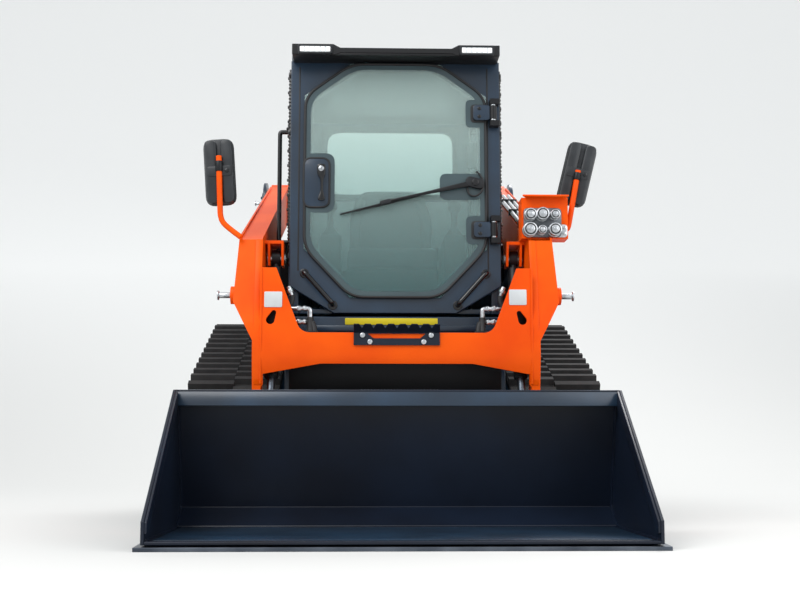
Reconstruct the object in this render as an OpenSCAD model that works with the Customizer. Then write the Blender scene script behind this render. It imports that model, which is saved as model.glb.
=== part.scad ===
// Tracked skid steer loader, in millimetres.
// The front faces -Y, up is +Z, and the ground is z = 0.

/* [Overall] */
// Width over the two tracks
track_overall_w = 1770; // [1760:5:1800]
// Width of the bucket over its side plates
bucket_w = 1727; // [1600:1:1800]
// Distance from the middle of the machine to the cutting edge
front_reach = 1780; // [1770:1:1790]
// Distance from the middle of the machine to the rear bumper
rear_reach = 1780; // [1740:1:1800]

/* [Tracks] */
// Width of one track
track_w = 390; // [380:5:390]
// Thickness of the belt without lugs
belt_t = 28; // [24:1:32]
// Height of a lug
lug_h = 25; // [20:1:25]
// Wished distance from one lug to the next
lug_pitch = 88; // [80:1:110]
// Length of a lug along the track
lug_len = 40; // [34:1:46]

/* [Cab] */
// Gap between a track and the cab's side
cab_gap = 39; // [29:1:40]
// Thickness of the cab's walls
cab_wall = 40; // [30:1:45]
// Height of the cab's underside
cab_bottom = 907; // [900:1:915]
// Height of the cab's roof
cab_top = 2062; // [2050:1:2080]
// Front face of the cab's frame
cab_front = -630; // [-640:1:-620]
// Rear face of the cab
cab_rear_y = 470; // [460:1:480]
// Distance from the cab's side to the edge of the door's glass
door_gap = 61; // [56:1:76]
// Lowest and highest point of the door's glass
door_low = 973; // [965:1:985]
door_high = 2004; // [1990:1:2006]

/* [Loader] */
// Height of the boom's pivot
boom_pivot_z = 1700; // [1690:1:1710]
// Place of the boom's pivot
boom_pivot_y = 970; // [960:1:980]
// Gap between the cab's side and an arm
arm_gap = 104; // [102:1:106]
// Width of an arm
arm_w = 95; // [88:1:98]
// Height and place of the bucket's pivot
bucket_pivot_z = 220; // [215:1:225]
bucket_pivot_y = -825; // [-830:1:-820]
// Thickness of the bucket's plates
bucket_t = 12; // [10:1:14]

/* [Hidden] */
$fn = 48;

ORANGE = "#F2580C";
SLATE = "#27313F";
BLACK = "#17181A";
STEEL = "#B9BDC1";
GLASS = "#9DBCBB";
SEAT = "#3A3C40";

// Gap between pieces that turn past each other
clear = 6;
// Track faces
track_out = track_overall_w / 2;
track_in = track_out - track_w;
track_mid = (track_in + track_out) / 2;
// Frame of the machine between the tracks
frame_gap = 25;
frame_half = track_in - frame_gap;
frame_wall = 25;
frame_front = -640;
bumper_len = 140;
frame_rear = rear_reach - bumper_len;
frame_low = 295;
frame_top = 892;
belly_front_z = 420;
belly_rear_z = 480;
belly_front_len = 180;
belly_rear_len = 210;
// Half widths of the cab and of the door's glass
cab_half = track_in - cab_gap;
door_half = cab_half - door_gap;
// Inner and outer face of an arm
arm_in = cab_half + arm_gap;
arm_out = arm_in + arm_w;
// Engine bay behind the cab
bay_front = 490;
hood_front_z = 1500;
hood_rear_z = 1400;
hood_t = 30;
panel_t = 30;
door_y = frame_rear + 10;
door_t = 40;
// Towers that carry the boom
tower_in = [arm_in - 26, arm_in - 8];
tower_out = [arm_out + 23, arm_out + 43];
pin_r = 25;
// Lower edge of an arm behind its elbow, down to the belly point
arm_boss = 105;
arm_belly = [-330, 1165];
function arm_low(y) =
    arm_belly[1] + (boom_pivot_z - arm_boss - arm_belly[1]) * (y - arm_belly[0]) / (boom_pivot_y - arm_belly[0]);
// Lift cylinders
lift_x = arm_in + 55;
lift_base = [1100, 1080];
lift_eye = [-80, arm_low(-80) - 57.69];
lift_r = 45;
lift_rod_r = 25;
// Tilt cylinders
tilt_x = arm_in - 45;
tilt_base = [-570, 1150];
tilt_eye = [-850, 500];
tilt_r = 26;
tilt_rod_r = 16;
tilt_pin_r = 20;
// Front plane of the arms' legs, of the gussets and of the cross member
leg_front = -865;
leg_depth = 120;
leg_in = arm_in - 5;
leg_out = leg_in + 35;
// Inner and outer face of the ears beside a cylinder's eye, from the cylinder's middle
tilt_ear = [24, 34];
lift_ear = [29, 39];
plate_t = 12;
// Below this height the front of the boom slants back, by this share of the drop
crease_z = 711;
fold = 0.2;
function folded(z) = leg_front + fold * (crease_z - z);
// Door hinge line
hinge_x = cab_half - 31;
hinge_y = -664;
glass_t = 8;
glass_y = cab_front - clear - glass_t;

module span(x, y, z) {
    translate([x[0], y[0], z[0]])
        cube([x[1] - x[0], y[1] - y[0], z[1] - z[0]]);
}

// A flat outline in (y, z), as thick as the span in x
module along_x(x0, x1) {
    translate([x0, 0, 0])
        rotate([90, 0, 90])
            linear_extrude(x1 - x0) children();
}

// A flat outline in (x, z), as thick as the span in y
module along_y(y0, y1) {
    translate([0, y1, 0])
        rotate([90, 0, 0])
            linear_extrude(y1 - y0) children();
}

module both_sides() {
    children();
    mirror([1, 0, 0]) children();
}

// A round bar across the machine, centred on the point p = [y, z]
module bar_x(p, r, x0, x1) {
    translate([x0, p[0], p[1]])
        rotate([0, 90, 0])
            cylinder(r = r, h = x1 - x0);
}

// An octagon with its lower and upper corners cut
module octagon(half, low, high, cut_x, cut_low, cut_high) {
    polygon([
        [-half + cut_x, low], [half - cut_x, low], [half, low + cut_low], [half, high - cut_high],
        [half - cut_x, high], [-half + cut_x, high], [-half, high - cut_high], [-half, low + cut_low]
    ]);
}

// Track: a belt round four wheels, listed as [y, z, radius of the belt's outer face]
track_wheels = [
    [-420, 362, 275],
    [-215, 120, 95],
    [920, 275, 250],
    [410, 700, 235]
];
function wheel(i) = track_wheels[(i + 4) % 4];
function step_to_next(i) = [wheel(i + 1)[0] - wheel(i)[0], wheel(i + 1)[1] - wheel(i)[1]];
function radius_drop(i) = wheel(i)[2] - wheel(i + 1)[2];
function leave_angle(i) =
    let (s = step_to_next(i))
    atan2(s[1], s[0]) - 90 + asin(radius_drop(i) / norm(s));
function arc_angle(i) =
    let (a = leave_angle(i) - leave_angle(i + 3))
    a - 360 * floor(a / 360);
function stretch(k) =
    let (i = floor(k / 2))
    k % 2 == 0
        ? wheel(i)[2] * arc_angle(i) * PI / 180
        : sqrt(pow(norm(step_to_next(i)), 2) - pow(radius_drop(i), 2));
function on_circle(i, a, off) =
    [wheel(i)[0] + (wheel(i)[2] + off) * cos(a), wheel(i)[1] + (wheel(i)[2] + off) * sin(a)];
function on_stretch(k, d, off) =
    let (i = floor(k / 2), a = leave_angle(i))
    k % 2 == 0
        ? on_circle(i, leave_angle(i + 3) + d / wheel(i)[2] * 180 / PI, off)
        : on_circle(i, a, off) + d * [-sin(a), cos(a)];
function on_track(d, off, k = 0) =
    (d < stretch(k) || k == 7) ? on_stretch(k, d, off) : on_track(d - stretch(k), off, k + 1);
track_len = stretch(0) + stretch(1) + stretch(2) + stretch(3)
    + stretch(4) + stretch(5) + stretch(6) + stretch(7);
lug_count = round(track_len / lug_pitch);
pitch = track_len / lug_count;
lug_taper = 6;
belt_points = 160;

// The belt's section with a row of lugs, shifted along the belt
module lugged_belt(shift) {
    difference() {
        polygon([
            for (i = [0 : lug_count - 1])
                let (d = i * pitch + shift)
                each [
                    on_track(d, 0),
                    on_track(d + lug_taper, lug_h),
                    on_track(d + lug_len - lug_taper, lug_h),
                    on_track(d + lug_len, 0)
                ]
        ]);
        polygon([
            for (i = [0 : belt_points - 1])
                on_track(i * track_len / belt_points, -belt_t)
        ]);
    }
}

module track() {
    color(BLACK) {
        along_x(track_in, track_mid) lugged_belt(0);
        along_x(track_mid, track_out) lugged_belt(pitch / 2);
    }
}

module track_right() {
    track();
}

module track_left() {
    mirror([1, 0, 0]) track();
}

// Wheels inside the tracks
wheel_half = 88;
wheel_in = track_mid - wheel_half;
wheel_out = track_mid + wheel_half;
belt_gap = 2;
// Rails on both sides of the wheels
rail_in = [wheel_in - 14, wheel_in - 5];
rail_out = [wheel_out + 5, wheel_out + 17];
axle_r = 30;

module track_wheel(i, rim, dish) {
    w = wheel(i);
    r = w[2] - belt_t - belt_gap;
    bar_x([w[0], w[1]], axle_r, rail_in[1], rail_out[0]);
    difference() {
        bar_x([w[0], w[1]], r, wheel_in, wheel_out);
        for (x = [[wheel_in - 1, wheel_in + dish], [wheel_out - dish, wheel_out + 1]])
            difference() {
                bar_x([w[0], w[1]], r - rim, x[0], x[1]);
                bar_x([w[0], w[1]], rim + 20, x[0], x[1]);
            }
    }
}

module front_idlers() {
    color(SLATE) both_sides() track_wheel(0, 40, 50);
}

module rear_idlers() {
    color(SLATE) both_sides() track_wheel(2, 40, 50);
}

module drive_sprockets() {
    teeth = 14;
    half = 20;
    tooth_gap_r = 20;
    motor_r = 130;
    hub_r = 90;
    hub_len = 50;
    w = wheel(3);
    r = w[2] - belt_t - belt_gap;
    color(SLATE) both_sides() {
        difference() {
            bar_x([w[0], w[1]], r, track_mid - half, track_mid + half);
            for (i = [0 : teeth - 1])
                let (a = i * 360 / teeth)
                bar_x([w[0] + r * cos(a), w[1] + r * sin(a)], tooth_gap_r, track_mid - half - 1, track_mid + half + 1);
        }
        bar_x([w[0], w[1]], motor_r, frame_half, track_mid - half);
        bar_x([w[0], w[1]], hub_r, track_mid + half, track_mid + half + hub_len);
    }
}

roller_count = 6;
roller_first = -195;
roller_step = 146;
roller_r = 63;
roller_gap = 0.4;
function roller(i) = [roller_first + i * roller_step, lug_h + belt_t + roller_gap + roller_r];

module track_rollers() {
    waist = 30;
    waist_drop = 22;
    color(SLATE) both_sides()
        for (i = [0 : roller_count - 1]) {
            bar_x(roller(i), roller_r, wheel_in, track_mid - waist);
            bar_x(roller(i), roller_r - waist_drop, track_mid - waist, track_mid + waist);
            bar_x(roller(i), axle_r, rail_in[1], rail_out[0]);
            bar_x(roller(i), roller_r, track_mid + waist, wheel_out);
        }
}

// Beam inside each track, its axle carriers and the ties to the frame
beam_low = 185;
beam_high = 330;

module track_frames() {
    tie_w = 120;
    tie_ys = [-60, 460];
    beam_x = [track_in + 5, rail_in[0] + 2];
    beam_y = [-130, 640];
    beam_wall = 25;
    rail_y = [wheel(0)[0] - axle_r, wheel(2)[0] + axle_r];
    rail_high = beam_high + 65;
    hanger = 35;
    color(SLATE) both_sides() {
        difference() {
            span(beam_x, beam_y, [beam_low, beam_high]);
            span([beam_x[0] + beam_wall, beam_x[1] + 1], [beam_y[0] + beam_wall, beam_y[1] - beam_wall],
                 [beam_low + beam_wall, beam_high - beam_wall]);
        }
        for (y = tie_ys)
            span([frame_half, beam_x[0] + 1], [y, y + tie_w], [frame_low + 5, beam_high]);
        for (rail = [rail_in, rail_out]) {
            span(rail, rail_y, [beam_low, rail_high]);
            for (i = [0 : roller_count - 1])
                span(rail, [roller(i)[0] - hanger, roller(i)[0] + hanger], [roller(i)[1] - hanger, beam_low + 1]);
        }
    }
}

// Frame between the tracks: two side walls, a belly plate and a front wall
module main_frame() {
    belly = [
        [frame_front, belly_front_z], [frame_front + belly_front_len, frame_low],
        [frame_rear - belly_rear_len, frame_low], [frame_rear, belly_rear_z]
    ];
    color(SLATE) {
        both_sides()
            along_x(frame_half - frame_wall, frame_half)
                polygon(concat(belly, [[frame_rear, frame_top], [frame_front, frame_top]]));
        along_x(-frame_half + frame_wall, frame_half - frame_wall)
            polygon(concat(belly, [
                belly[3] + [0, frame_wall], belly[2] + [-12, frame_wall],
                belly[1] + [10, frame_wall], belly[0] + [frame_wall, 15],
                [frame_front + frame_wall, frame_top], [frame_front, frame_top]
            ]));
    }
}

// Each tower is an inner and an outer plate on a box above the track
tower_y = [890, 1330];
tower_low = 720;
tower_boss = 115;

module tower_outline() {
    shoulder = 960;
    neck = [1130, 1560];
    throat = 1450;
    chest = 1250;
    difference() {
        union() {
            polygon([
                [tower_y[0], tower_low], [tower_y[1], tower_low], [tower_y[1], shoulder], neck,
                [boom_pivot_y + tower_boss, boom_pivot_z], [boom_pivot_y - tower_boss, boom_pivot_z],
                [boom_pivot_y - tower_boss, throat], [tower_y[0], chest]
            ]);
            translate([boom_pivot_y, boom_pivot_z]) circle(r = tower_boss);
        }
        translate([boom_pivot_y, boom_pivot_z]) circle(r = pin_r);
        translate(lift_base) circle(r = pin_r);
    }
}

module tower_inner_plates() {
    color(SLATE) both_sides() along_x(tower_in[0], tower_in[1]) tower_outline();
}

module tower_outer_plates() {
    color(SLATE) both_sides() along_x(tower_out[0], tower_out[1]) tower_outline();
}

// Boxes under the plates, and the pins through them
module tower_bases() {
    floor_t = 40;
    arm_z = [740, 880];
    head = 14;
    color(SLATE) both_sides() {
        span([tower_in[1], tower_out[0]], tower_y, [tower_low, tower_low + floor_t]);
        span([frame_half, tower_in[0]], tower_y, arm_z);
        bar_x([boom_pivot_y, boom_pivot_z], pin_r, tower_in[0] - head, tower_out[1] + head);
        bar_x(lift_base, pin_r, tower_in[0] - head, tower_out[1] + head);
    }
}

module engine_block() {
    half = frame_half - 140;
    y = [640, frame_rear - 160];
    z = [430, 1180];
    head_h = 150;
    foot = [80, 100];
    color("#4A4D50") {
        span([-half, half], y, z);
        for (foot_x = [-half + 30, half - 30 - foot[0]], foot_y = [y[0] + 40, y[1] - 80 - foot[1]])
            span([foot_x, foot_x + foot[0]], [foot_y, foot_y + foot[1]], [frame_low + frame_wall, z[0]]);
        span([-half + 100, half - 100], [y[0] + 60, y[1] - 80], [z[1], z[1] + head_h]);
    }
}

function hood_z(y) =
    hood_front_z + (hood_rear_z - hood_front_z) * (y - bay_front) / (frame_rear - bay_front);

module engine_side_panels() {
    slots = 7;
    slot_y = [frame_rear - 280, frame_rear - 50];
    slot_low = 970;
    slot_h = 20;
    slot_step = 50;
    color(SLATE) both_sides()
        difference() {
            along_x(frame_half - panel_t, frame_half)
                polygon([
                    [bay_front, frame_top], [frame_rear, frame_top],
                    [frame_rear, hood_z(frame_rear)], [bay_front, hood_z(bay_front)]
                ]);
            for (i = [0 : slots - 1])
                span([frame_half - panel_t - 1, frame_half + 1], slot_y,
                     [slot_low + i * slot_step, slot_low + i * slot_step + slot_h]);
        }
}

module engine_hood() {
    slots = 6;
    slot_x = frame_half - 260;
    slot_half = (frame_half - 210) / 2;
    slot_first = frame_rear - 640;
    slot_step = 70;
    slot_w = 30;
    front = bay_front + clear;
    rear = door_y + door_t;
    leaf = 60;
    color(SLATE) difference() {
        union() {
            along_x(-frame_half, frame_half)
                polygon([
                    [front, hood_z(front) + clear], [rear, hood_z(rear) + clear],
                    [rear, hood_z(rear) + clear + hood_t], [front, hood_z(front) + clear + hood_t]
                ]);
            both_sides() {
                bar_x(hood_axis, hood_knuckle_r, hood_knuckle_x - knuckle_half, hood_knuckle_x + knuckle_half);
                span([hood_knuckle_x - knuckle_half, hood_knuckle_x + knuckle_half],
                     [hood_axis[0], hood_axis[0] + leaf], [hood_front_z + 20, hood_axis[1]]);
            }
        }
        both_sides()
            bar_x(hood_axis, bay_pin_r + pin_play, hood_knuckle_x - knuckle_half - 1, hood_knuckle_x + knuckle_half + 1);
        for (i = [0 : slots - 1], side = [-1, 1])
            span([side * slot_x - slot_half, side * slot_x + slot_half],
                 [slot_first + i * slot_step, slot_first + i * slot_step + slot_w],
                 [hood_rear_z - 100, hood_front_z + 100]);
    }
}

module engine_door() {
    rows = 8;
    row_low = 760;
    row_h = 32;
    row_step = 68;
    row_half = frame_half - 140;
    low = 560;
    high = hood_z(door_y + door_t) - 4;
    corner = [20, 40];
    knuckle_r = 15;
    knuckle = 34;
    color(SLATE) difference() {
        union() {
            along_y(door_y, door_y + door_t)
                polygon([
                    [-frame_half + corner[0], low], [frame_half - corner[0], low], [frame_half, low + corner[1]],
                    [frame_half, high], [-frame_half, high], [-frame_half, low + corner[1]]
                ]);
            for (z = door_knuckle_zs)
                translate([door_axis[0], door_axis[1], z - knuckle]) cylinder(r = knuckle_r, h = 2 * knuckle);
        }
        for (z = door_knuckle_zs)
            translate([door_axis[0], door_axis[1], z - 2 * knuckle])
                cylinder(r = bay_pin_r + pin_play, h = 4 * knuckle);
        for (i = [0 : rows - 1])
            span([-row_half, row_half], [door_y - 1, door_y + door_t + 1],
                 [row_low + i * row_step, row_low + i * row_step + row_h]);
    }
}

tie_bore_r = 30;

module rear_bumper() {
    z = [380, 540];
    foot_low = 330;
    bore = [rear_reach - 60, 440];
    pocket = [frame_half - 210, frame_half - 120];
    color(SLATE) difference() {
        union() {
            span([-frame_half, frame_half], [frame_rear, rear_reach], z);
            both_sides() span([frame_half - 80, frame_half - 40], [frame_rear, rear_reach - 10], [foot_low, z[0]]);
        }
        both_sides() bar_x(bore, tie_bore_r, pocket[1] - 1, frame_half + 1);
        both_sides() span(pocket, [rear_reach - 110, rear_reach + 1], [z[0] + 10, z[1] - 40]);
    }
}

module tail_lamps() {
    color("#B3261E") both_sides()
        span([frame_half, frame_half + 20], [frame_rear - 90, frame_rear - 20], [frame_top + 18, frame_top + 118]);
}

// Cab
front_cut_x = 200;

module cab_floor() {
    color(SLATE)
        span([-cab_half + cab_wall, cab_half - cab_wall],
             [cab_front + cab_wall, cab_rear_y - cab_wall], [cab_bottom, cab_bottom + floor_t]);
}

module side_window_outline(grow) {
    polygon([
        [cab_front + 130 - grow, 1150 - grow], [cab_rear_y - 120 + grow, 1310 - grow],
        [cab_rear_y - 120 + grow, 1950 + grow], [cab_front + 110 - grow, 1950 + grow]
    ]);
}

module cab_side() {
    color(SLATE) difference() {
        along_x(cab_half - cab_wall, cab_half)
            polygon([
                [cab_front + cab_wall, cab_bottom], [cab_rear_y, cab_bottom],
                [cab_rear_y, cab_top - cab_wall], [cab_front + cab_wall, cab_top - cab_wall]
            ]);
        along_x(cab_half - cab_wall - 1, cab_half + 1) side_window_outline(0);
    }
}

module cab_side_right() {
    cab_side();
}

module cab_side_left() {
    mirror([1, 0, 0]) cab_side();
}

module side_windows() {
    color(GLASS) both_sides()
        along_x(cab_half - cab_wall / 2, cab_half - cab_wall / 2 + 6) side_window_outline(0);
}

rear_window_half = cab_half - 116;
rear_window_low = 1630;
rear_window_high = 1990;

module cab_rear() {
    color(SLATE) difference() {
        span([-cab_half + cab_wall, cab_half - cab_wall],
             [cab_rear_y - cab_wall, cab_rear_y], [cab_bottom, cab_top - cab_wall]);
        span([-rear_window_half, rear_window_half],
             [cab_rear_y - cab_wall - 1, cab_rear_y + 1], [rear_window_low, rear_window_high]);
    }
}

module rear_window() {
    color(GLASS)
        span([-rear_window_half, rear_window_half],
             [cab_rear_y - 20, cab_rear_y - 14], [rear_window_low, rear_window_high]);
}

module cab_roof() {
    color(SLATE)
        span([-cab_half, cab_half], [cab_front + cab_wall, cab_rear_y], [cab_top - cab_wall, cab_top]);
}

visor_front = -750;
visor_low = 2012;
visor_high = 2058;
pod_in = cab_half - 216;
pod_out = cab_half - 9;

module cab_visor() {
    color(SLATE) {
        along_y(visor_front, cab_front)
            polygon([
                [-pod_out, visor_low], [-pod_in - 20, visor_low], [-pod_in, visor_low + 8],
                [pod_in, visor_low + 8], [pod_in + 20, visor_low],
                [pod_out, visor_low], [pod_out, visor_high], [pod_in + 30, visor_high], [pod_in, visor_high - 16],
                [-pod_in, visor_high - 16], [-pod_in - 30, visor_high], [-pod_out, visor_high]
            ]);
        span([-pod_out, pod_out], [cab_front, cab_front + cab_wall], [cab_top - cab_wall, cab_top]);
    }
}

module work_lamps() {
    color("#F4F6F2") both_sides()
        span([pod_in + 40, pod_out - 32], [visor_front - 12, visor_front], [visor_high - 42, visor_high - 12]);
}

module cab_front_frame() {
    foot = cab_half - 192;
    shoulder = 1023;
    color(SLATE) difference() {
        along_y(cab_front, cab_front + cab_wall)
            polygon([
                [-foot, cab_bottom], [foot, cab_bottom], [cab_half, shoulder],
                [cab_half, cab_top - cab_wall], [-cab_half, cab_top - cab_wall], [-cab_half, shoulder]
            ]);
        along_y(cab_front - 1, cab_front + cab_wall + 1)
            octagon(door_half - 35, door_low + 30, door_high - 30, front_cut_x, 200, 132);
    }
}

guard_bars = 7;

module side_guards() {
    front = cab_front + 90;
    rear = cab_rear_y - 80;
    bar = 22;
    step = (rear - front - bar) / guard_bars;
    color(BLACK) both_sides() {
        for (i = [0 : guard_bars])
            span([cab_half, cab_half + 12], [front + i * step, front + i * step + bar], [1280, 1980]);
        for (z = [1260, 1980])
            span([cab_half, cab_half + 12], [front, rear], [z, z + bar]);
    }
}

hinge_zs = [1268, 1784];
hinge_pin_r = 9;

module cab_hinges() {
    color(BLACK)
        for (z = hinge_zs) {
            translate([hinge_x, hinge_y, z - 60]) cylinder(r = hinge_pin_r, h = 120);
            for (dz = [-60, 36])
                span([hinge_x - 14, hinge_x + 26], [hinge_y - 14, cab_front], [z + dz, z + dz + 24]);
        }
}

// Slanted handles on the lower corners of the cab's front, and a rail on one pillar
handle_top = [cab_half - 60, 1085];
handle_foot = [cab_half - 193, 936];

module cab_mounts() {
    color(BLACK) both_sides()
        for (y = [-560, 330])
            span([frame_half - frame_wall, frame_half - 5], [y, y + 100], [frame_top, cab_bottom]);
}

// Hinges of the engine hood, across the machine, and of the engine door, upright
hood_axis = [bay_front + 10, hood_front_z + 53];
hood_knuckle_x = frame_half - 170;
door_axis = [-frame_half - 12, door_y + door_t / 2];
door_knuckle_zs = [640, 1220];
bay_pin_r = 8;
pin_play = 0.5;
hood_knuckle_r = 17;
knuckle_half = 24;

module bay_hinges() {
    color(BLACK) {
        both_sides() {
            bar_x(hood_axis, bay_pin_r, hood_knuckle_x - 50, hood_knuckle_x + 50);
            for (x = [hood_knuckle_x - 50, hood_knuckle_x + 26])
                span([x, x + 24], [cab_rear_y, hood_axis[0] + 9], [hood_axis[1] - 10, hood_axis[1] + 10]);
        }
        for (z = door_knuckle_zs) {
            translate([door_axis[0], door_axis[1], z - 60]) cylinder(r = bay_pin_r, h = 120);
            for (dz = [-60, 36])
                span([door_axis[0] - 8, door_axis[0] + 8], [frame_rear - 50, door_axis[1]], [z + dz, z + dz + 24]);
            for (dz = [-60, 36])
                span([door_axis[0] - 8, -frame_half], [frame_rear - 60, frame_rear - 4], [z + dz, z + dz + 24]);
        }
    }
}

module grab_handles() {
    bar = 26;
    stand = 45;
    rail_r = 10;
    rail_stand = 57;
    rail_y = -470;
    rail_z = [1230, 1750];
    d = handle_top - handle_foot;
    color(BLACK) {
        both_sides()
            translate([handle_foot[0], cab_front, handle_foot[1]])
                rotate([0, -atan2(d[1], d[0]), 0]) {
                    span([0, norm(d)], [-stand - bar, -stand], [-bar / 2, bar / 2]);
                    for (x = [0, norm(d) - bar])
                        span([x, x + bar], [-stand, 0], [-bar / 2, bar / 2]);
                }
        translate([-cab_half - rail_stand, rail_y, rail_z[0]]) cylinder(r = rail_r, h = rail_z[1] - rail_z[0]);
        for (z = [rail_z[0] + rail_r, rail_z[1] - rail_r])
            bar_x([rail_y, z], rail_r - 2, -cab_half - rail_stand, -cab_half);
    }
}

// Seat and the consoles beside it
floor_t = 25;
console_out = cab_half - cab_wall - 71;
console_in = console_out - 100;
console_top = 1330;
seat_half = console_in - 25;
cushion_low = 1180;
cushion_top = 1290;

module seat_base() {
    color(SEAT) span([-seat_half, seat_half], [-60, 400], [cab_bottom + floor_t, cushion_low]);
}

module seat_cushion() {
    half = seat_half - 5;
    color(SEAT) span([-half, half], [-100, 330], [cushion_low, cushion_top]);
}

module seat_back() {
    half = seat_half - 20;
    back_top = 1650;
    color(SEAT) along_x(-half, half)
        polygon([[290, cushion_top], [400, cushion_top], [426, back_top], [346, back_top]]);
}

module consoles() {
    lever_x = (console_in + console_out) / 2;
    lever_y = -90;
    lever_h = 130;
    lever_r = 16;
    knob_r = 34;
    color(SEAT) both_sides() {
        span([console_in, console_out], [-160, 330], [cab_bottom + floor_t, console_top]);
        translate([lever_x, lever_y, console_top]) cylinder(r = lever_r, h = lever_h);
        translate([lever_x, lever_y, console_top + lever_h + 20]) sphere(r = knob_r);
    }
}

// Boom
foot_low = 580;
shoulder_z = 1192;
elbow_y = -790;
// Stub pin on the outside of each arm
stub = [-800, 962];
stub_x = arm_out + 30;
elbow_z = 1198;

module arm_side_outline() {
    difference() {
        union() {
            polygon([
                [boom_pivot_y, boom_pivot_z + arm_boss], [elbow_y, elbow_z], [leg_front, 850],
                [leg_front, crease_z], [folded(foot_low), foot_low], [folded(foot_low), 400],
                [leg_front, bucket_pivot_z], [leg_front + leg_depth, bucket_pivot_z],
                [leg_front + leg_depth, 720], [-660, 960], arm_belly, [boom_pivot_y, boom_pivot_z - arm_boss]
            ]);
            translate([boom_pivot_y, boom_pivot_z]) circle(r = arm_boss);
            translate([bucket_pivot_y, bucket_pivot_z]) circle(r = 62);
        }
        translate([boom_pivot_y, boom_pivot_z]) circle(r = pin_r + 1);
        translate([bucket_pivot_y, bucket_pivot_z]) circle(r = pin_r + 1);
    }
}

// The arm's width, seen from the front: [x, z]
module arm_front_outline() {
    polygon([
        [leg_in, 100], [leg_out, 100], [leg_out, 770], [arm_out + 17, stub[1] - 30], [arm_out, shoulder_z],
        [arm_out, 1900], [arm_in, 1900], [arm_in, 830], [leg_in, 800]
    ]);
}

module lift_ear_outline() {
    difference() {
        polygon([
            lift_eye + [-250, 40], lift_eye + [-70, -40], lift_eye + [0, -55], lift_eye + [70, -40],
            lift_eye + [140, 140], lift_eye + [-250, 50]
        ]);
        translate(lift_eye) circle(r = 18);
    }
}

module arm() {
    color(ORANGE) {
        intersection() {
            along_x(leg_in - 1, arm_out + 30) arm_side_outline();
            along_y(-1200, 1400) arm_front_outline();
        }
        along_x(lift_x - lift_ear[1], lift_x - lift_ear[0]) lift_ear_outline();
        along_x(lift_x + lift_ear[0], lift_x + lift_ear[1]) lift_ear_outline();
        bar_x(stub, 37, arm_out + 5, stub_x);
    }
}

module arm_right() {
    arm();
}

module arm_left() {
    mirror([1, 0, 0]) arm();
}

// A slanted hole with a wide and a narrow end
module tapered_hole(wide, wide_r, narrow, narrow_r) {
    d = narrow - wide;
    turn = atan2(d[1], d[0]);
    lean = acos((wide_r - narrow_r) / norm(d));
    translate(wide) circle(r = wide_r);
    translate(narrow) circle(r = narrow_r);
    polygon([
        wide + wide_r * [cos(turn - lean), sin(turn - lean)], narrow + narrow_r * [cos(turn - lean), sin(turn - lean)],
        narrow + narrow_r * [cos(turn + lean), sin(turn + lean)], wide + wide_r * [cos(turn + lean), sin(turn + lean)]
    ]);
}

gusset_top = 1070;
gusset_in = leg_in - 61;
bar_top = 803;
bar_low = 676;
// Round corner between a gusset and the bar
throat_r = 52;
throat = [leg_in - 198, bar_top + throat_r];

// One half of the boom's front plate, seen from the front: [x, z]
module front_plate_half() {
    difference() {
        polygon(concat(
            [[0, bar_low], [leg_in - 243, bar_low], [leg_in - 9, 634], [leg_in - 9, foot_low + 12], [leg_in, foot_low],
             [leg_in, gusset_top], [gusset_in, gusset_top]],
            [for (i = [0 : 6]) let (a = -18 - i * 12) throat + throat_r * [cos(a), sin(a)]],
            [[0, bar_top]]
        ));
        tapered_hole([leg_in - 38, 854], 17.5, [leg_in - 52, 884], 10);
    }
}

module cross_member() {
    ear_hole = tilt_pin_r + 0.5;
    ears = [[tilt_x - tilt_ear[1], tilt_x - tilt_ear[0]], [tilt_x + tilt_ear[0], tilt_x + tilt_ear[1]]];
    back = folded(foot_low);
    color(ORANGE) {
        intersection() {
            along_y(leg_front, back + plate_t) {
                front_plate_half();
                mirror([1, 0, 0]) front_plate_half();
            }
            along_x(-leg_in, leg_in)
                polygon([
                    [leg_front, crease_z], [leg_front, gusset_top + 1], [leg_front + plate_t, gusset_top + 1],
                    [leg_front + plate_t, crease_z], [back + plate_t, foot_low], [back, foot_low]
                ]);
        }
        span([-leg_in + 95, leg_in - 95], [leg_front + plate_t, leg_front + 70], [bar_low + 8, bar_top]);
        both_sides() {
            for (x = ears)
                difference() {
                    along_x(x[0], x[1]) tilt_ear_outline();
                    bar_x(tilt_base, ear_hole, x[0] - 1, x[1] + 1);
                }
            span([ears[0][0], arm_in], [-640, -500], [1206, 1220]);
        }
    }
}

module tilt_ear_outline() {
    polygon([[-640, 1206], [-500, 1206], [-530, 1115], [-610, 1115]]);
}

// Step on the bar: a bolted plate with a window, and a toothed lip that leans forward
step_half = 176;
step_t = 8;
step_low = 751;
lip_out = 30;
lip_top = 837;

module step_plate() {
    notches = 7;
    notch_step = 47.5;
    notch_half = 13;
    notch_low = 819;
    window_low = 779;
    window_half = [95, 118];
    front = leg_front - step_t;
    color(SLATE) difference() {
        along_x(-step_half, step_half)
            polygon([
                [front, step_low], [leg_front, step_low], [leg_front, bar_top],
                [leg_front - lip_out, lip_top], [front - lip_out, lip_top - 4], [front, bar_top - 2]
            ]);
        along_y(front - 1, leg_front + 1)
            polygon([
                [-window_half[0], window_low], [window_half[0], window_low],
                [window_half[1], bar_top - 5], [-window_half[1], bar_top - 5]
            ]);
        along_y(front - lip_out - 1, leg_front + 1)
            for (i = [0 : notches - 1])
                let (x = (i - (notches - 1) / 2) * notch_step)
                polygon([[x, notch_low], [x + notch_half, lip_top + 1], [x - notch_half, lip_top + 1]]);
    }
}

// Pins of the bucket's pivot, of the tilt cylinders' bases and the stubs on the arms
module boom_pins() {
    color(STEEL) both_sides() {
        bar_x(tilt_base, tilt_pin_r, tilt_x - tilt_ear[1] - 6, tilt_x + tilt_ear[1] + 6);
        bar_x(stub, 10, stub_x, stub_x + 50);
    }
}

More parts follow.
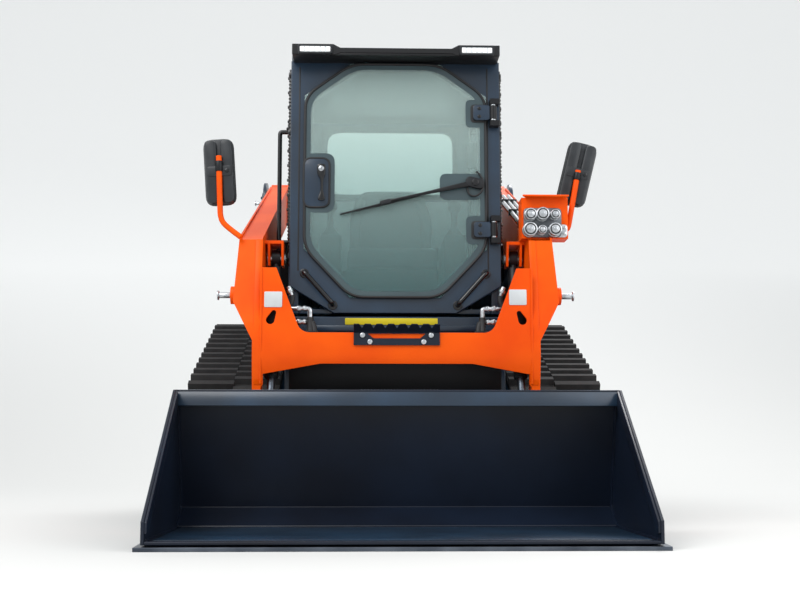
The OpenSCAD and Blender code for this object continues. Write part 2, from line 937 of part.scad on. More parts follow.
// Block for the hydraulic couplings, on one arm
block_x = [arm_in - 27, arm_out + 76];
block_y = [-745, -645];
block_z = [1216, 1392];

// Mirrors that lean outward behind their stalks: one on an arm, one on the coupling block
mirror_w = 128;
mirror_h = 285;
mirror_t = 30;
stalk_r = 12;

// Middle of the head, lower end of the stalk, and their leans
module mirror_on_stalk(y, mid, lean, knee, stalk_lean, stalk_len) {
    half = [mirror_w / 2, mirror_h / 2];
    corner = 26;
    clamp = 18;
    stalk_y = y - stalk_r - 1;
    translate([mid[0], y, mid[1]])
        rotate([0, lean, 0]) {
            along_y(0, mirror_t)
                polygon([
                    [-half[0] + corner, -half[1]], [half[0] - corner, -half[1]], [half[0], -half[1] + corner],
                    [half[0], half[1] - corner], [half[0] - corner, half[1]], [-half[0] + corner, half[1]],
                    [-half[0], half[1] - corner], [-half[0], -half[1] + corner]
                ]);
            span([-clamp, clamp], [-2 * stalk_r + 4, 4], [-50, -10]);
        }
    translate([knee[0], stalk_y, knee[1]]) rotate([0, stalk_lean, 0]) cylinder(r = stalk_r, h = stalk_len);
}

module mirrors() {
    left_y = -790;
    left_knee = [arm_out + 73, 1272];
    right_y = -640;
    right_knee = [block_x[1] + 13, 1268];
    foot = 30;
    color("#2B2D30") {
        mirror([1, 0, 0]) {
            mirror_on_stalk(left_y, [arm_out + 87, 1485], 4, left_knee, 2.5, 262);
            along_y(left_y - 2 * stalk_r - 1, left_y + stalk_r)
                polygon([
                    [arm_out, shoulder_z], left_knee + [stalk_r, -14], left_knee + [stalk_r, 16],
                    left_knee + [-stalk_r, 16], [arm_out, shoulder_z + foot]
                ]);
        }
        mirror_on_stalk(right_y, [arm_out + 137, 1520], 14, right_knee, 10.6, 230);
        span([block_x[1], right_knee[0] + stalk_r], [right_y - 2 * stalk_r, block_y[1]],
             [right_knee[1] - 14, right_knee[1] + 16]);
    }
}

function arm_top(y) =
    elbow_z + (boom_pivot_z + arm_boss - elbow_z) * (y - elbow_y) / (boom_pivot_y - elbow_y);

module coupler_block() {
    seat = 0.3;
    color(ORANGE) {
        span([arm_out, block_x[1]], block_y, block_z);
        span([block_x[0], arm_in], block_y, block_z);
        along_x(arm_in, arm_out)
            polygon([
                [block_y[0], arm_top(block_y[0]) + seat], [block_y[1], arm_top(block_y[1]) + seat],
                [block_y[1], block_z[1]], [block_y[0], block_z[1]]
            ]);
    }
}

// Couplings on the block's front face: [x from the block's side, z, radius]
coupling_rows = [
    [33, 1312, 24], [84, 1314, 26], [137, 1312, 19],
    [31, 1248, 28], [82, 1246, 17], [136, 1248, 26]
];
coupling_len = 55;

module couplings() {
    color(STEEL)
        for (c = coupling_rows)
            translate([block_x[0] + c[0], block_y[0], c[1]])
                rotate([90, 0, 0]) cylinder(r = c[2], h = coupling_len);
}

function reach(base, eye) = norm(eye - base);

// Barrel with a closed end, and a gland round the rod at its open end
module barrel(base, eye, x, r, rod_r, start, length, eye_r, eye_w, eye_bore) {
    wall = 6;
    end_t = 15;
    gland = 40;
    play = 0.25;
    difference() {
        union() {
            on_axis(base, eye, x) translate([0, 0, start]) cylinder(r = r, h = length - start);
            on_axis(base, eye, x) cylinder(r = eye_w * 0.45, h = start + 1);
            bar_x(base, eye_r, x - eye_w / 2, x + eye_w / 2);
        }
        on_axis(base, eye, x)
            translate([0, 0, start + end_t]) cylinder(r = r - wall, h = length - gland - start - end_t);
        on_axis(base, eye, x) translate([0, 0, length - gland - 1]) cylinder(r = rod_r + play, h = gland + 2);
        bar_x(base, eye_bore, x - eye_w, x + eye_w);
    }
}

// Turns +Z onto the line from base to eye
module on_axis(base, eye, x) {
    d = eye - base;
    translate([x, base[0], base[1]])
        rotate([-atan2(d[0], d[1]), 0, 0])
            children();
}

module rod(base, eye, x, r, inner_end, eye_r, eye_w, eye_bore) {
    difference() {
        union() {
            on_axis(base, eye, x)
                translate([0, 0, inner_end]) cylinder(r = r, h = reach(base, eye) - inner_end);
            bar_x(eye, eye_r, x - eye_w / 2, x + eye_w / 2);
        }
        bar_x(eye, eye_bore, x - eye_w, x + eye_w);
    }
}

module lift_barrels() {
    color(BLACK) both_sides()
        barrel(lift_base, lift_eye, lift_x, lift_r, lift_rod_r, 55, 1080, 52, 90, pin_r + 0.5);
}

module lift_rods() {
    color(STEEL) both_sides()
        rod(lift_base, lift_eye, lift_x, lift_rod_r, 120, 42, 54, 18);
}

module tilt_barrels() {
    color(BLACK) both_sides()
        barrel(tilt_base, tilt_eye, tilt_x, tilt_r, tilt_rod_r, 52, 572, 38, 36, tilt_pin_r + 0.5);
}

module tilt_rods() {
    color(STEEL) both_sides()
        rod(tilt_base, tilt_eye, tilt_x, tilt_rod_r, 168, 34, 44, 18);
}

// Bucket: floor, slanted heel and a back that leans forward, as the line of its outer face
floor_low = 20;
floor_front = -front_reach + 15;
knee_z = 97;
shell_line = [[floor_front, floor_low], [-1075, floor_low], [-940, 98], [-1075, 560]];

function along(a, b) = (b - a) / norm(b - a);
function inward(a, b) = let (u = along(a, b)) [-u[1], u[0]];
function corner_inward(a, b, c) =
    let (m = inward(a, b), n = inward(b, c))
    (m + n) / (1 + m * n);
shell_inside = [
    shell_line[0] + bucket_t * inward(shell_line[0], shell_line[1]),
    shell_line[1] + bucket_t * corner_inward(shell_line[0], shell_line[1], shell_line[2]),
    shell_line[2] + bucket_t * corner_inward(shell_line[1], shell_line[2], shell_line[3]),
    shell_line[3] + bucket_t * inward(shell_line[2], shell_line[3])
];
back_up = along(shell_line[2], shell_line[3]);
back_out = -inward(shell_line[2], shell_line[3]);
rail_h = 46;
rail_w = 44;

module bucket_shell() {
    inside = bucket_w / 2 - bucket_t;
    color(SLATE) {
        along_x(-inside, inside)
            polygon([
                shell_line[0], shell_line[1], shell_line[2], shell_line[3],
                shell_inside[3], shell_inside[2], shell_inside[1], shell_inside[0]
            ]);
        along_x(-inside, inside)
            polygon([
                shell_inside[3] - rail_h * back_up + back_out, shell_inside[3] + back_out,
                shell_inside[3] - [rail_w, 0], shell_inside[3] - rail_h * back_up - [rail_w + 8, 0]
            ]);
    }
}

module bucket_sides() {
    color(SLATE) both_sides()
        along_x(bucket_w / 2 - bucket_t, bucket_w / 2)
            polygon(concat(shell_line, [shell_inside[3] - [rail_w + 6, 0], [floor_front, knee_z]]));
}

module cutting_edge() {
    edge_half = bucket_w / 2 + 22;
    color("#3A4048")
        along_x(-edge_half, edge_half)
            polygon([[-front_reach, 0], [floor_front + 160, 0], [floor_front + 160, floor_low],
                     [-front_reach, floor_low - 6]]);
}

// Frame on the bucket's back, its ears for the arms and the tilt rods, and its pins
coupler_t = 22;
coupler_foot = shell_line[2] + 108 * back_up;
function coupler(rise, out) = coupler_foot + rise * back_up + out * back_out;

module quick_coupler() {
    beam = 125;
    high = 330;
    color(SLATE)
        for (s = [[leg_out + 22, 0, beam], [tilt_x + tilt_ear[1], beam, high]])
            along_x(-s[0], s[0])
                polygon([coupler(s[1], 0), coupler(s[2], 0), coupler(s[2], coupler_t), coupler(s[1], coupler_t)]);
}

module leg_ear() {
    p = [bucket_pivot_y, bucket_pivot_z];
    polygon([coupler(2, coupler_t), p + [-20, -58], p + [40, -40], p + [58, 10], p + [20, 58],
             coupler(118, coupler_t)]);
}

module rod_ear() {
    difference() {
        polygon([coupler(60, coupler_t), tilt_eye + [6, -58], tilt_eye + [30, -24],
                 tilt_eye + [28, 18], tilt_eye + [2, 36], coupler(325, coupler_t)]);
        translate(tilt_eye) circle(r = 18);
    }
}

module coupler_ears() {
    color(SLATE) both_sides() {
        along_x(tilt_x - tilt_ear[1], tilt_x - tilt_ear[0]) rod_ear();
        along_x(tilt_x + tilt_ear[0], tilt_x + tilt_ear[1])
            difference() {
                union() {
                    leg_ear();
                    rod_ear();
                }
                translate([bucket_pivot_y, bucket_pivot_z]) circle(r = pin_r);
            }
        along_x(leg_out + 7, leg_out + 20)
            difference() {
                leg_ear();
                translate([bucket_pivot_y, bucket_pivot_z]) circle(r = pin_r);
            }
    }
}

module bucket_pins() {
    color(STEEL) both_sides()
        bar_x([bucket_pivot_y, bucket_pivot_z], pin_r, tilt_x + tilt_ear[0], leg_out + 32);
}

// Door in the cab's front
module door_glass() {
    color(GLASS)
        along_y(glass_y, glass_y + glass_t)
            octagon(door_half, door_low, door_high, front_cut_x, 212, 144);
}

module door_hinges() {
    color(BLACK)
        for (z = hinge_zs)
            difference() {
                union() {
                    translate([hinge_x, hinge_y, z - 30]) cylinder(r = 16, h = 60);
                    span([hinge_x - 85, hinge_x], [hinge_y + 4, glass_y], [z - 30, z + 30]);
                }
                translate([hinge_x, hinge_y, z - 40]) cylinder(r = hinge_pin_r + 0.5, h = 80);
            }
}

module door_handle() {
    grip_x = [-door_half + 59, -door_half + 91];
    color("#2B2D30") {
        span([-door_half + 3, -door_half + 109], [glass_y - 6, glass_y], [1365, 1580]);
        span(grip_x, [glass_y - 36, glass_y - 24], [1392, 1545]);
        for (z = [1392, 1525])
            span(grip_x, [glass_y - 24, glass_y - 6], [z, z + 20]);
    }
}

module door_wiper() {
    pivot = [door_half - 50, 1474];
    arm_len = 396;
    arm_tilt = 12.5;
    color(BLACK) {
        translate([pivot[0], glass_y, pivot[1]]) rotate([90, 0, 0]) cylinder(r = 18, h = 22);
        translate([pivot[0], glass_y - 14, pivot[1]])
            rotate([0, -90 - arm_tilt, 0]) cylinder(r = 6, h = arm_len);
    }
}

main_frame();
tower_inner_plates();
tower_outer_plates();
tower_bases();
engine_block();
engine_side_panels();
rear_bumper();
tail_lamps();
track_frames();
drive_sprockets();
front_idlers();
rear_idlers();
track_rollers();
track_left();
track_right();
cab_floor();
cab_side_left();
cab_side_right();
cab_rear();
cab_roof();
cab_visor();
cab_front_frame();
side_windows();
rear_window();
side_guards();
work_lamps();
cab_hinges();
grab_handles();
cab_mounts();
bay_hinges();
seat_base();
seat_cushion();
seat_back();
consoles();
arm_left();
arm_right();
cross_member();
step_plate();
boom_pins();
mirrors();
coupler_block();
couplings();
lift_barrels();
lift_rods();
tilt_barrels();
tilt_rods();
quick_coupler();
coupler_ears();
bucket_pins();
bucket_shell();
bucket_sides();
cutting_edge();
door_glass();
door_hinges();
door_handle();
door_wiper();
engine_hood();
engine_door();
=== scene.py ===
# %% [markdown]
# # A tracked skid steer loader
# A compact loader stands on two rubber tracks. Its arms are orange, and its cab, frame and bucket are dark slate.
# The solids come from the CAD model, which is loaded as a fixed frame, so every piece is already in its place.
# This lesson rounds their edges, finishes each surface and adds the small pieces that the solids leave out.

# %% Load the frame
import math
import bpy
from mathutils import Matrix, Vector


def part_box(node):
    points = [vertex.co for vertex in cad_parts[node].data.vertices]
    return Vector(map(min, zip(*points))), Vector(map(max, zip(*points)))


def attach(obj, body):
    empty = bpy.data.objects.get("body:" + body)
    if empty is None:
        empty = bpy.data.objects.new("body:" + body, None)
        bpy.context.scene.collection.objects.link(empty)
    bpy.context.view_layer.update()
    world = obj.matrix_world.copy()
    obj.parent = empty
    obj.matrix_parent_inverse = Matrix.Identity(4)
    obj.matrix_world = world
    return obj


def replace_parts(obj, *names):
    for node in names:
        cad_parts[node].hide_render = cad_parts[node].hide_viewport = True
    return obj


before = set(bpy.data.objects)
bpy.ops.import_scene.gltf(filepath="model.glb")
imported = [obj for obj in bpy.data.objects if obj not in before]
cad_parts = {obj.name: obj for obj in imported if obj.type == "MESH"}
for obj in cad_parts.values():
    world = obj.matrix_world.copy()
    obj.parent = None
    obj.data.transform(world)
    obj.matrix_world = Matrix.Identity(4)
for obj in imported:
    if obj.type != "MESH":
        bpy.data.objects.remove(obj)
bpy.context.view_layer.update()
MM = 0.001

# %% [markdown]
# ## Small helpers
# Operators act on whatever is selected, so each step starts from an empty selection.
# Every finished piece sits at the origin with its place in its mesh, rides on a body and names its finish.

# %% Helpers for pieces
def deselect():
    if bpy.context.object and bpy.context.object.mode != "OBJECT":
        bpy.ops.object.mode_set(mode="OBJECT")
    bpy.ops.object.select_all(action="DESELECT")


def pick(piece):
    deselect()
    piece.select_set(True)
    bpy.context.view_layer.objects.active = piece


def settle(piece, name, finish, body="chassis"):
    """Names a piece, or a list of them as one, gives it its finish and lets it ride on a body."""
    piece = join(piece) if isinstance(piece, list) else piece
    pick(piece)
    bpy.ops.object.transform_apply(location=True, rotation=True, scale=True)
    piece.name = name
    piece.data.name = name
    piece.data.materials.clear()
    piece.data.materials.append(finish)
    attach(piece, body)
    print(f"{name}: {len(piece.data.polygons)} faces on {body}")
    return piece


def round_edges(piece, mm, segments=2):
    """Rounds the sharp edges of a piece and makes its shading smooth."""
    pick(piece)
    bevel = piece.modifiers.new("rounded edges", "BEVEL")
    bevel.width = mm * MM
    bevel.segments = segments
    bevel.limit_method = "ANGLE"
    bevel.angle_limit = math.radians(35)
    bpy.ops.object.modifier_apply(modifier=bevel.name)
    bpy.ops.object.shade_smooth_by_angle(angle=math.radians(40))
    return piece


def join(pieces):
    deselect()
    for piece in pieces:
        piece.select_set(True)
    bpy.context.view_layer.objects.active = pieces[0]
    bpy.ops.object.join()
    return bpy.context.object


# %% Helpers for boxes and discs
def block(low, high, round_mm=3):
    """A box between two corners in millimetres, with rounded edges."""
    deselect()
    low = Vector(low) * MM
    high = Vector(high) * MM
    bpy.ops.mesh.primitive_cube_add(size=1, location=(low + high) / 2)
    piece = bpy.context.object
    piece.scale = high - low
    bpy.ops.object.transform_apply(location=True, rotation=True, scale=True)
    return round_edges(piece, round_mm) if round_mm else piece


def disc(start, end, radius, edge_mm=1.5, sides=32):
    """A round bar from one point to another, in millimetres."""
    deselect()
    start = Vector(start) * MM
    end = Vector(end) * MM
    run = end - start
    bpy.ops.mesh.primitive_cylinder_add(
        vertices=sides, radius=radius * MM, depth=run.length, location=(start + end) / 2,
        rotation=run.to_track_quat("Z", "Y").to_euler())
    piece = bpy.context.object
    bpy.ops.object.transform_apply(location=True, rotation=True, scale=True)
    return round_edges(piece, edge_mm) if edge_mm else piece


# %% Helpers for plates and tubes
def across(axis, depth, a, b):
    """The point at a and b across an axis and at a depth along it, in metres."""
    return Vector({"x": (depth, a, b), "y": (a, depth, b), "z": (a, b, depth)}[axis]) * MM


def flat_loop(outline, axis, depth, fill):
    """A closed outline in millimetres, drawn across an axis, filled or open."""
    deselect()
    bpy.ops.mesh.primitive_circle_add(vertices=len(outline), fill_type=fill)
    piece = bpy.context.object
    for corner, (a, b) in zip(piece.data.vertices, outline):
        corner.co = across(axis, depth, a, b)
    return piece


def thicken(piece, axis, thickness, round_mm):
    """Extrudes a flat piece along an axis and rounds its edges."""
    bpy.ops.object.mode_set(mode="EDIT")
    bpy.ops.mesh.select_all(action="SELECT")
    bpy.ops.mesh.extrude_region_move(TRANSFORM_OT_translate={"value": across(axis, thickness, 0, 0)})
    bpy.ops.mesh.select_all(action="SELECT")
    bpy.ops.mesh.normals_make_consistent(inside=False)
    bpy.ops.object.mode_set(mode="OBJECT")
    return round_edges(piece, round_mm) if round_mm else piece


def plate(outline, axis, low, high, round_mm=1.5):
    """A flat outline, drawn across an axis and extruded from low to high along it."""
    return thicken(flat_loop(outline, axis, low, "NGON"), axis, high - low, round_mm)


def tube(points, radius, closed=False, sides=12):
    """A bent tube or hose through points in millimetres."""
    deselect()
    bpy.ops.curve.primitive_nurbs_path_add()
    piece = bpy.context.object
    curve = piece.data
    curve.splines.clear()
    spline = curve.splines.new("NURBS")
    spline.points.add(len(points) - 1)
    for knot, place in zip(spline.points, points):
        knot.co = (*(Vector(place) * MM), 1)
    spline.order_u = 3
    spline.use_endpoint_u = not closed
    spline.use_cyclic_u = closed
    spline.resolution_u = 8
    curve.bevel_depth = radius * MM
    curve.bevel_resolution = max(1, sides // 4 - 1)
    curve.use_fill_caps = True
    bpy.ops.object.convert(target="MESH")
    piece = bpy.context.object
    bpy.ops.object.shade_smooth_by_angle(angle=math.radians(50))
    return piece


# %% Helpers for pairs and sizes
def both_sides(make):
    """Makes a piece on the right and its mirror image on the left."""
    return [make(1), make(-1)]


def pair(make, name, finish, body="chassis"):
    """Settles a piece and its mirror image as one."""
    return settle(both_sides(make), name, finish, body)


def reach(side, near, far):
    """The low and high x of a span on one side."""
    return sorted((side * near, side * far))


def on_side(side, points):
    """Points of the right side, or their mirror image."""
    return [(side * x, y, z) for x, y, z in points]


def mm_box(node):
    """The two corners of a solid, in whole millimetres."""
    return [[round(v / MM) for v in corner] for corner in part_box(node)]


# %% Helpers for outlines
def rounded(outline, radius, steps=5):
    """The outline with a soft arc in place of each corner."""
    points = []
    for i, corner in enumerate(outline):
        here = Vector(corner)
        before = Vector(outline[i - 1]) - here
        after = Vector(outline[(i + 1) % len(outline)]) - here
        start = here + before.normalized() * min(radius, before.length / 2.2)
        end = here + after.normalized() * min(radius, after.length / 2.2)
        for k in range(steps + 1):
            t = k / steps
            points.append(tuple((1 - t) ** 2 * start + 2 * t * (1 - t) * here + t * t * end))
    return points


def strip(a, b, width_a, width_b):
    """The outline of a bar from a to b that tapers from one width to the other."""
    a, b = Vector(a), Vector(b)
    side = (b - a).orthogonal().normalized() / 2
    return [tuple(p) for p in (a + side * width_a, b + side * width_b, b - side * width_b, a - side * width_a)]


def rectangle(low, high):
    return [(low[0], low[1]), (high[0], low[1]), (high[0], high[1]), (low[0], high[1])]


def soft_box(low, high, radius):
    """A rectangle with round corners."""
    return rounded(rectangle(low, high), radius)


def ring(outer, inner, axis, low, high, round_mm=0):
    """A flat frame between two outlines of equal length, extruded along an axis."""
    piece = join([flat_loop(outline, axis, low, "NOTHING") for outline in (outer, inner)])
    bpy.ops.object.mode_set(mode="EDIT")
    bpy.ops.mesh.select_all(action="SELECT")
    bpy.ops.mesh.bridge_edge_loops()
    bpy.ops.object.mode_set(mode="OBJECT")
    return thicken(piece, axis, high - low, round_mm)


def circle(radius, steps=32):
    turns = [2 * math.pi * n / steps for n in range(steps)]
    return [(radius * math.cos(a), radius * math.sin(a)) for a in turns]


# %% Helpers for rings and fasteners
def collar(start, end, radius, bore, edge_mm=2):
    """A turned ring from one point to another, with room for a rod through it."""
    start, end = Vector(start), Vector(end)
    piece = ring(circle(radius), circle(bore), "z", 0, (end - start).length, edge_mm)
    piece.rotation_euler = (end - start).to_track_quat("Z", "Y").to_euler()
    piece.location = start * MM
    return piece


def bolt(at, out, radius=9, height=8):
    """A hexagon bolt head on its washer: at is on the surface, and out points away from it."""
    at, out = Vector(at), Vector(out).normalized()
    washer = disc(at - out, at + out * 2.5, radius * 1.3, 0.8, 20)
    head = disc(at + out * 2, at + out * (2 + height), radius, 1.2, 6)
    return join([washer, head])


def side_disc(side, near, far, at, radius, edge_mm):
    """A disc that faces sideways, with its middle given as y and z."""
    return disc((side * near, *at), (side * far, *at), radius, edge_mm)


def side_bolt(side, x, at, radius, height):
    return bolt((side * x, *at), (side, 0, 0), radius, height)


def dome(at, out, radius, height):
    """A button-head screw, which is a disc with a large round on its rim."""
    at, out = Vector(at), Vector(out).normalized()
    return disc(at - out, at + out * height, radius, height * 0.7, 20)


# %% [markdown]
# ## Finishes
# Each finish starts from the real material: what it is made of, how its surface came about and what that gives the eye.
# Colours are written as sRGB hex values, and one function makes them linear.

# %% Helpers for finishes
def linear(code):
    """An sRGB hex colour as linear RGBA."""
    values = [int(code[i:i + 2], 16) / 255 for i in (1, 3, 5)]
    return [v / 12.92 if v <= 0.04045 else ((v + 0.055) / 1.055) ** 2.4 for v in values] + [1]


def add(tree, kind, settings=None, links=None):
    """Adds a shader node, sets its sockets or options by name and links its sockets."""
    made = tree.nodes.new(kind)
    for key, value in (settings or {}).items():
        if key in made.inputs:
            made.inputs[key].default_value = value
        else:
            setattr(made, key, value)
    for key, source in (links or {}).items():
        tree.links.new(source, made.inputs[key])
    return made


def start_finish(name, slot, surface):
    """A new material with its surface values by name, its coordinates and its slot's name."""
    finish = bpy.data.materials.new(name)
    finish.use_nodes = True
    finish["slot"] = slot
    tree = finish.node_tree
    shader = tree.nodes["Principled BSDF"]
    for key, value in surface.items():
        shader.inputs[key].default_value = value
    coords = add(tree, "ShaderNodeTexCoord")
    return finish, tree, shader, coords.outputs["Object"]


def mottled(tree, place, dark, light, size_mm, low=0.35, high=0.65, detail=4):
    """Two colours mixed by soft noise whose patches have about the given size."""
    noise = add(tree, "ShaderNodeTexNoise", {"Scale": 1000 / size_mm, "Detail": detail}, {"Vector": place})
    ramp = add(tree, "ShaderNodeValToRGB", None, {"Fac": noise.outputs["Fac"]})
    ramp.color_ramp.elements[0].position = low
    ramp.color_ramp.elements[1].position = high
    ramp.color_ramp.elements[0].color = linear(dark)
    ramp.color_ramp.elements[1].color = linear(light)
    return ramp.outputs["Color"]


def bumped(tree, shader, place, size_mm, height, detail=3):
    """Fine relief of the given grain size."""
    noise = add(tree, "ShaderNodeTexNoise", {"Scale": 1000 / size_mm, "Detail": detail}, {"Vector": place})
    bump = add(tree, "ShaderNodeBump", {"Strength": height, "Distance": 0.001}, {"Height": noise.outputs["Fac"]})
    tree.links.new(bump.outputs["Normal"], shader.inputs["Normal"])


# %% Paint
def paint(name, slot, dark, light, rough, coat=0.0, patch_mm=260, peel_mm=6, gloss=0.3):
    """Powder coat baked on steel: an even colour with a faint orange peel that breaks up the gloss."""
    finish, tree, shader, place = start_finish(name, slot, {
        "Roughness": rough, "Specular IOR Level": gloss, "Coat Weight": coat, "Coat Roughness": 0.2})
    tree.links.new(mottled(tree, place, dark, light, patch_mm), shader.inputs["Base Color"])
    bumped(tree, shader, place, peel_mm, 0.06)
    return finish


# Sheet steel is sprayed and baked: orange is almost matt, slate has a soft gloss, and the bucket is darker and blotchy.
orange_paint = paint("orange powder coat", "orange_paint", "#E04800", "#EC5600", 0.42, gloss=0.14)
slate_paint = paint("slate powder coat", "slate_paint", "#132434", "#1A3146", 0.32, 0.2, gloss=0.5)
bucket_paint = paint("bucket paint", "slate_paint", "#080F1C", "#0F1A2B", 0.42, 0.1, 420, 9)
black_paint = paint("black paint", "black_paint", "#0B0C0E", "#131417", 0.42)
black_gloss = paint("black gloss tube", "black_paint", "#08090B", "#101114", 0.25, 0.4)
# Moulded plastic, vinyl and cast iron are coloured through and have a finer or coarser grain.
charcoal_plastic = paint("charcoal moulded plastic", "charcoal_plastic", "#17191C", "#202327", 0.5, 0, 90, 2.5)
mirror_plastic = paint("mirror moulded plastic", "black_paint", "#24272A", "#2E3134", 0.42, 0.1, 60, 2.5)
seat_vinyl = paint("seat vinyl", "seat_vinyl", "#2A2C30", "#35373C", 0.5, 0, 60, 3)
engine_iron = paint("cast iron", "engine_iron", "#3C4044", "#4A4E52", 0.7, 0, 40, 4)
blank_white = paint("blank white plate", "orange_paint", "#C0C3C5", "#CCCFD0", 0.4)
lining_grey = paint("grey cab lining", "charcoal_plastic", "#A9AEAE", "#B6BABA", 0.7, 0, 60, 4)
strip_yellow = paint("yellow strip", "slate_paint", "#C2B31A", "#CFC026", 0.4)

# %% Rubber and bare steel
def rubber(name, slot, dark, light, rough):
    """Moulded tread rubber: nearly black, dull, with a little pale dust worked into it."""
    finish, tree, shader, place = start_finish(name, slot, {"Roughness": rough})
    tree.links.new(mottled(tree, place, dark, light, 45, 0.3, 0.8, 6), shader.inputs["Base Color"])
    bumped(tree, shader, place, 5, 0.25)
    return finish


track_rubber = rubber("tread rubber", "track_rubber", "#141416", "#272727", 0.82)
hose_rubber = rubber("hose rubber", "black_paint", "#131416", "#1C1D1F", 0.6)


def metal(name, slot, dark, light, rough, grain_mm=12):
    """Bare or plated steel: metallic, with fine wear that varies its colour a little."""
    finish, tree, shader, place = start_finish(name, slot, {"Metallic": 1, "Roughness": rough})
    tree.links.new(mottled(tree, place, dark, light, grain_mm), shader.inputs["Base Color"])
    bumped(tree, shader, place, 3, 0.05)
    return finish


bright_steel = metal("plated steel", "bright_steel", "#A9ADB1", "#D2D5D8", 0.28)
# The manifold's dull zinc grey is darker than the rings partly as painted shade in the gaps between the couplings.
zinc_grey_and_gap_shade = metal("dull zinc plate with painted gap shade", "bright_steel", "#5E6266", "#7C8085", 0.5, 40)
rod_chrome = metal("chromed rod", "bright_steel", "#C9CCD0", "#E2E4E6", 0.12)
nitrided_rod = metal("nitrided rod", "bright_steel", "#4A5058", "#5E646C", 0.36)
worn_steel = metal("worn edge steel", "worn_steel", "#474D56", "#6A717B", 0.4, 160)
mirror_silver = metal("mirror silver", "bright_steel", "#DADDDF", "#E6E8EA", 0.03)

# %% Glass and lenses
def glass(name, slot, tint, rough):
    """Toughened safety glass: clear with a green cast. A low IOR keeps its mirroring weak."""
    return start_finish(name, slot, {
        "Base Color": linear(tint), "Roughness": rough, "Transmission Weight": 0.9, "IOR": 1.1})[0]


clear_glass = glass("tinted safety glass", "clear_glass", "#E4EEEA", 0.02)
# A colour mix has sockets of the same name, so its two colours and its result go by number.
MIX_A, MIX_B, MIX_RESULT = 6, 7, 2


def by_height(tree, place, low, high, low_z, high_z):
    """One colour that turns into another between two heights, in metres."""
    height = add(tree, "ShaderNodeSeparateXYZ", None, {"Vector": place})
    rise = add(tree, "ShaderNodeMapRange", {"From Min": low_z, "From Max": high_z}, {"Value": height.outputs["Z"]})
    blend = add(tree, "ShaderNodeMix", {"data_type": "RGBA"}, {"Factor": rise.outputs["Result"]})
    blend.inputs[MIX_A].default_value = linear(low)
    blend.inputs[MIX_B].default_value = linear(high)
    return blend.outputs[MIX_RESULT]


def door_pane(name, slot, *shades):
    """The door's glass: green, made paler towards the top by a painted reflection of the sky."""
    finish, tree, shader, place = start_finish(name, slot, {
        "Roughness": 0.03, "Transmission Weight": 0.78, "IOR": 1.12})
    tree.links.new(by_height(tree, place, *shades), shader.inputs["Base Color"])
    return finish


# The door glass is green, and its paler top is a painted reflection of the sky.
door_glass_tint_and_painted_sky = door_pane("green door glass with painted sky", "clear_glass", "#84A9AA", "#DCF0EC", 0.98, 1.7)
# Lenses are smooth moulded plastic, and the border is ceramic ink fired onto the glass.
lamp_glass = paint("lamp lens", "lamp_white", "#C3CACD", "#D6DBDD", 0.12, 0.6, 14, 4)
led_cell = paint("lamp cell", "lamp_white", "#F4F6F6", "#FFFFFF", 0.1, 0.8, 8, 3)
red_lens = paint("red lens", "lamp_red", "#8E1208", "#B11A0E", 0.15, 0.6, 14, 4)
frit_band = paint("printed glass border", "clear_glass", "#36454A", "#3F5054", 0.3, 0.4)
print("finishes:", len(bpy.data.materials))

# %% [markdown]
# ## The frame's own solids
# The solids keep their shape. Their edges could be remodelled by hand, but a small bevel rounds them all at once,
# as a press brake or a casting does, and weighted normals keep the large faces flat.

# %% Soften and paint the solids
def soften(node, finish, round_mm, segments=2):
    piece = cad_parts[node]
    pick(piece)
    bpy.ops.mesh.customdata_custom_splitnormals_clear()
    bpy.ops.object.shade_smooth()
    weld = piece.modifiers.new("weld", "WELD")
    weld.merge_threshold = 1e-5
    flat = piece.modifiers.new("flat faces", "DECIMATE")
    flat.decimate_type = "DISSOLVE"
    flat.angle_limit = math.radians(1)
    bevel = piece.modifiers.new("rounded edges", "BEVEL")
    bevel.width = round_mm * MM
    bevel.segments = segments
    bevel.limit_method = "ANGLE"
    bevel.angle_limit = math.radians(28)
    weighted = piece.modifiers.new("flat shading", "WEIGHTED_NORMAL")
    weighted.keep_sharp = True
    piece.data.materials.clear()
    piece.data.materials.append(finish)


SOLID_FINISHES = {
    orange_paint: (4, ["arm_left", "arm_right", "cross_member", "coupler_block"]),
    slate_paint: (5, ["main_frame", "tower_inner_plates", "tower_outer_plates", "tower_bases", "engine_side_panels",
                      "rear_bumper", "track_frames", "drive_sprockets", "front_idlers", "rear_idlers",
                      "track_rollers", "cab_floor", "cab_side_left", "cab_side_right", "cab_rear", "cab_roof",
                      "cab_front_frame", "engine_hood", "engine_door"]),
    bucket_paint: (3, ["quick_coupler", "coupler_ears", "bucket_shell", "bucket_sides", "step_plate"]),
    # The visor's black is painted shade of its downward faces.
    black_gloss: (5, ["cab_visor"]),
    black_paint: (2, ["side_guards", "cab_hinges", "bay_hinges", "lift_barrels", "tilt_barrels", "door_hinges",
                      "door_wiper"]),
    track_rubber: (3, ["track_left", "track_right", "cab_mounts"]),
    bright_steel: (1.5, ["boom_pins", "bucket_pins", "couplings"]),
    rod_chrome: (1.5, ["lift_rods"]),
    nitrided_rod: (1.5, ["tilt_rods"]),
    worn_steel: (2, ["cutting_edge"]),
    engine_iron: (6, ["engine_block"]),
    clear_glass: (1, ["side_windows", "rear_window"]),
    door_glass_tint_and_painted_sky: (1, ["door_glass"]),
    charcoal_plastic: (4, ["consoles", "seat_base"]),
    lamp_glass: (2, ["work_lamps"]),
    red_lens: (3, ["tail_lamps"]),
}
for finish, (round_mm, nodes) in SOLID_FINISHES.items():
    for node in nodes:
        soften(node, finish, round_mm)
print("softened", sum(len(nodes) for _, nodes in SOLID_FINISHES.values()), "solids")

# %% [markdown]
# ## The door
# The door is one sheet of toughened glass hung on two hinges.
# A dark band is fired onto its rim, where the rubber seal is glued.
# A panel with a pull handle and its lock is bolted through the glass, and a wiper sweeps it from the hinge side.
# The seal could be a loft, but a round tube is what is really pressed on, so it is a tube along the rim's outline.

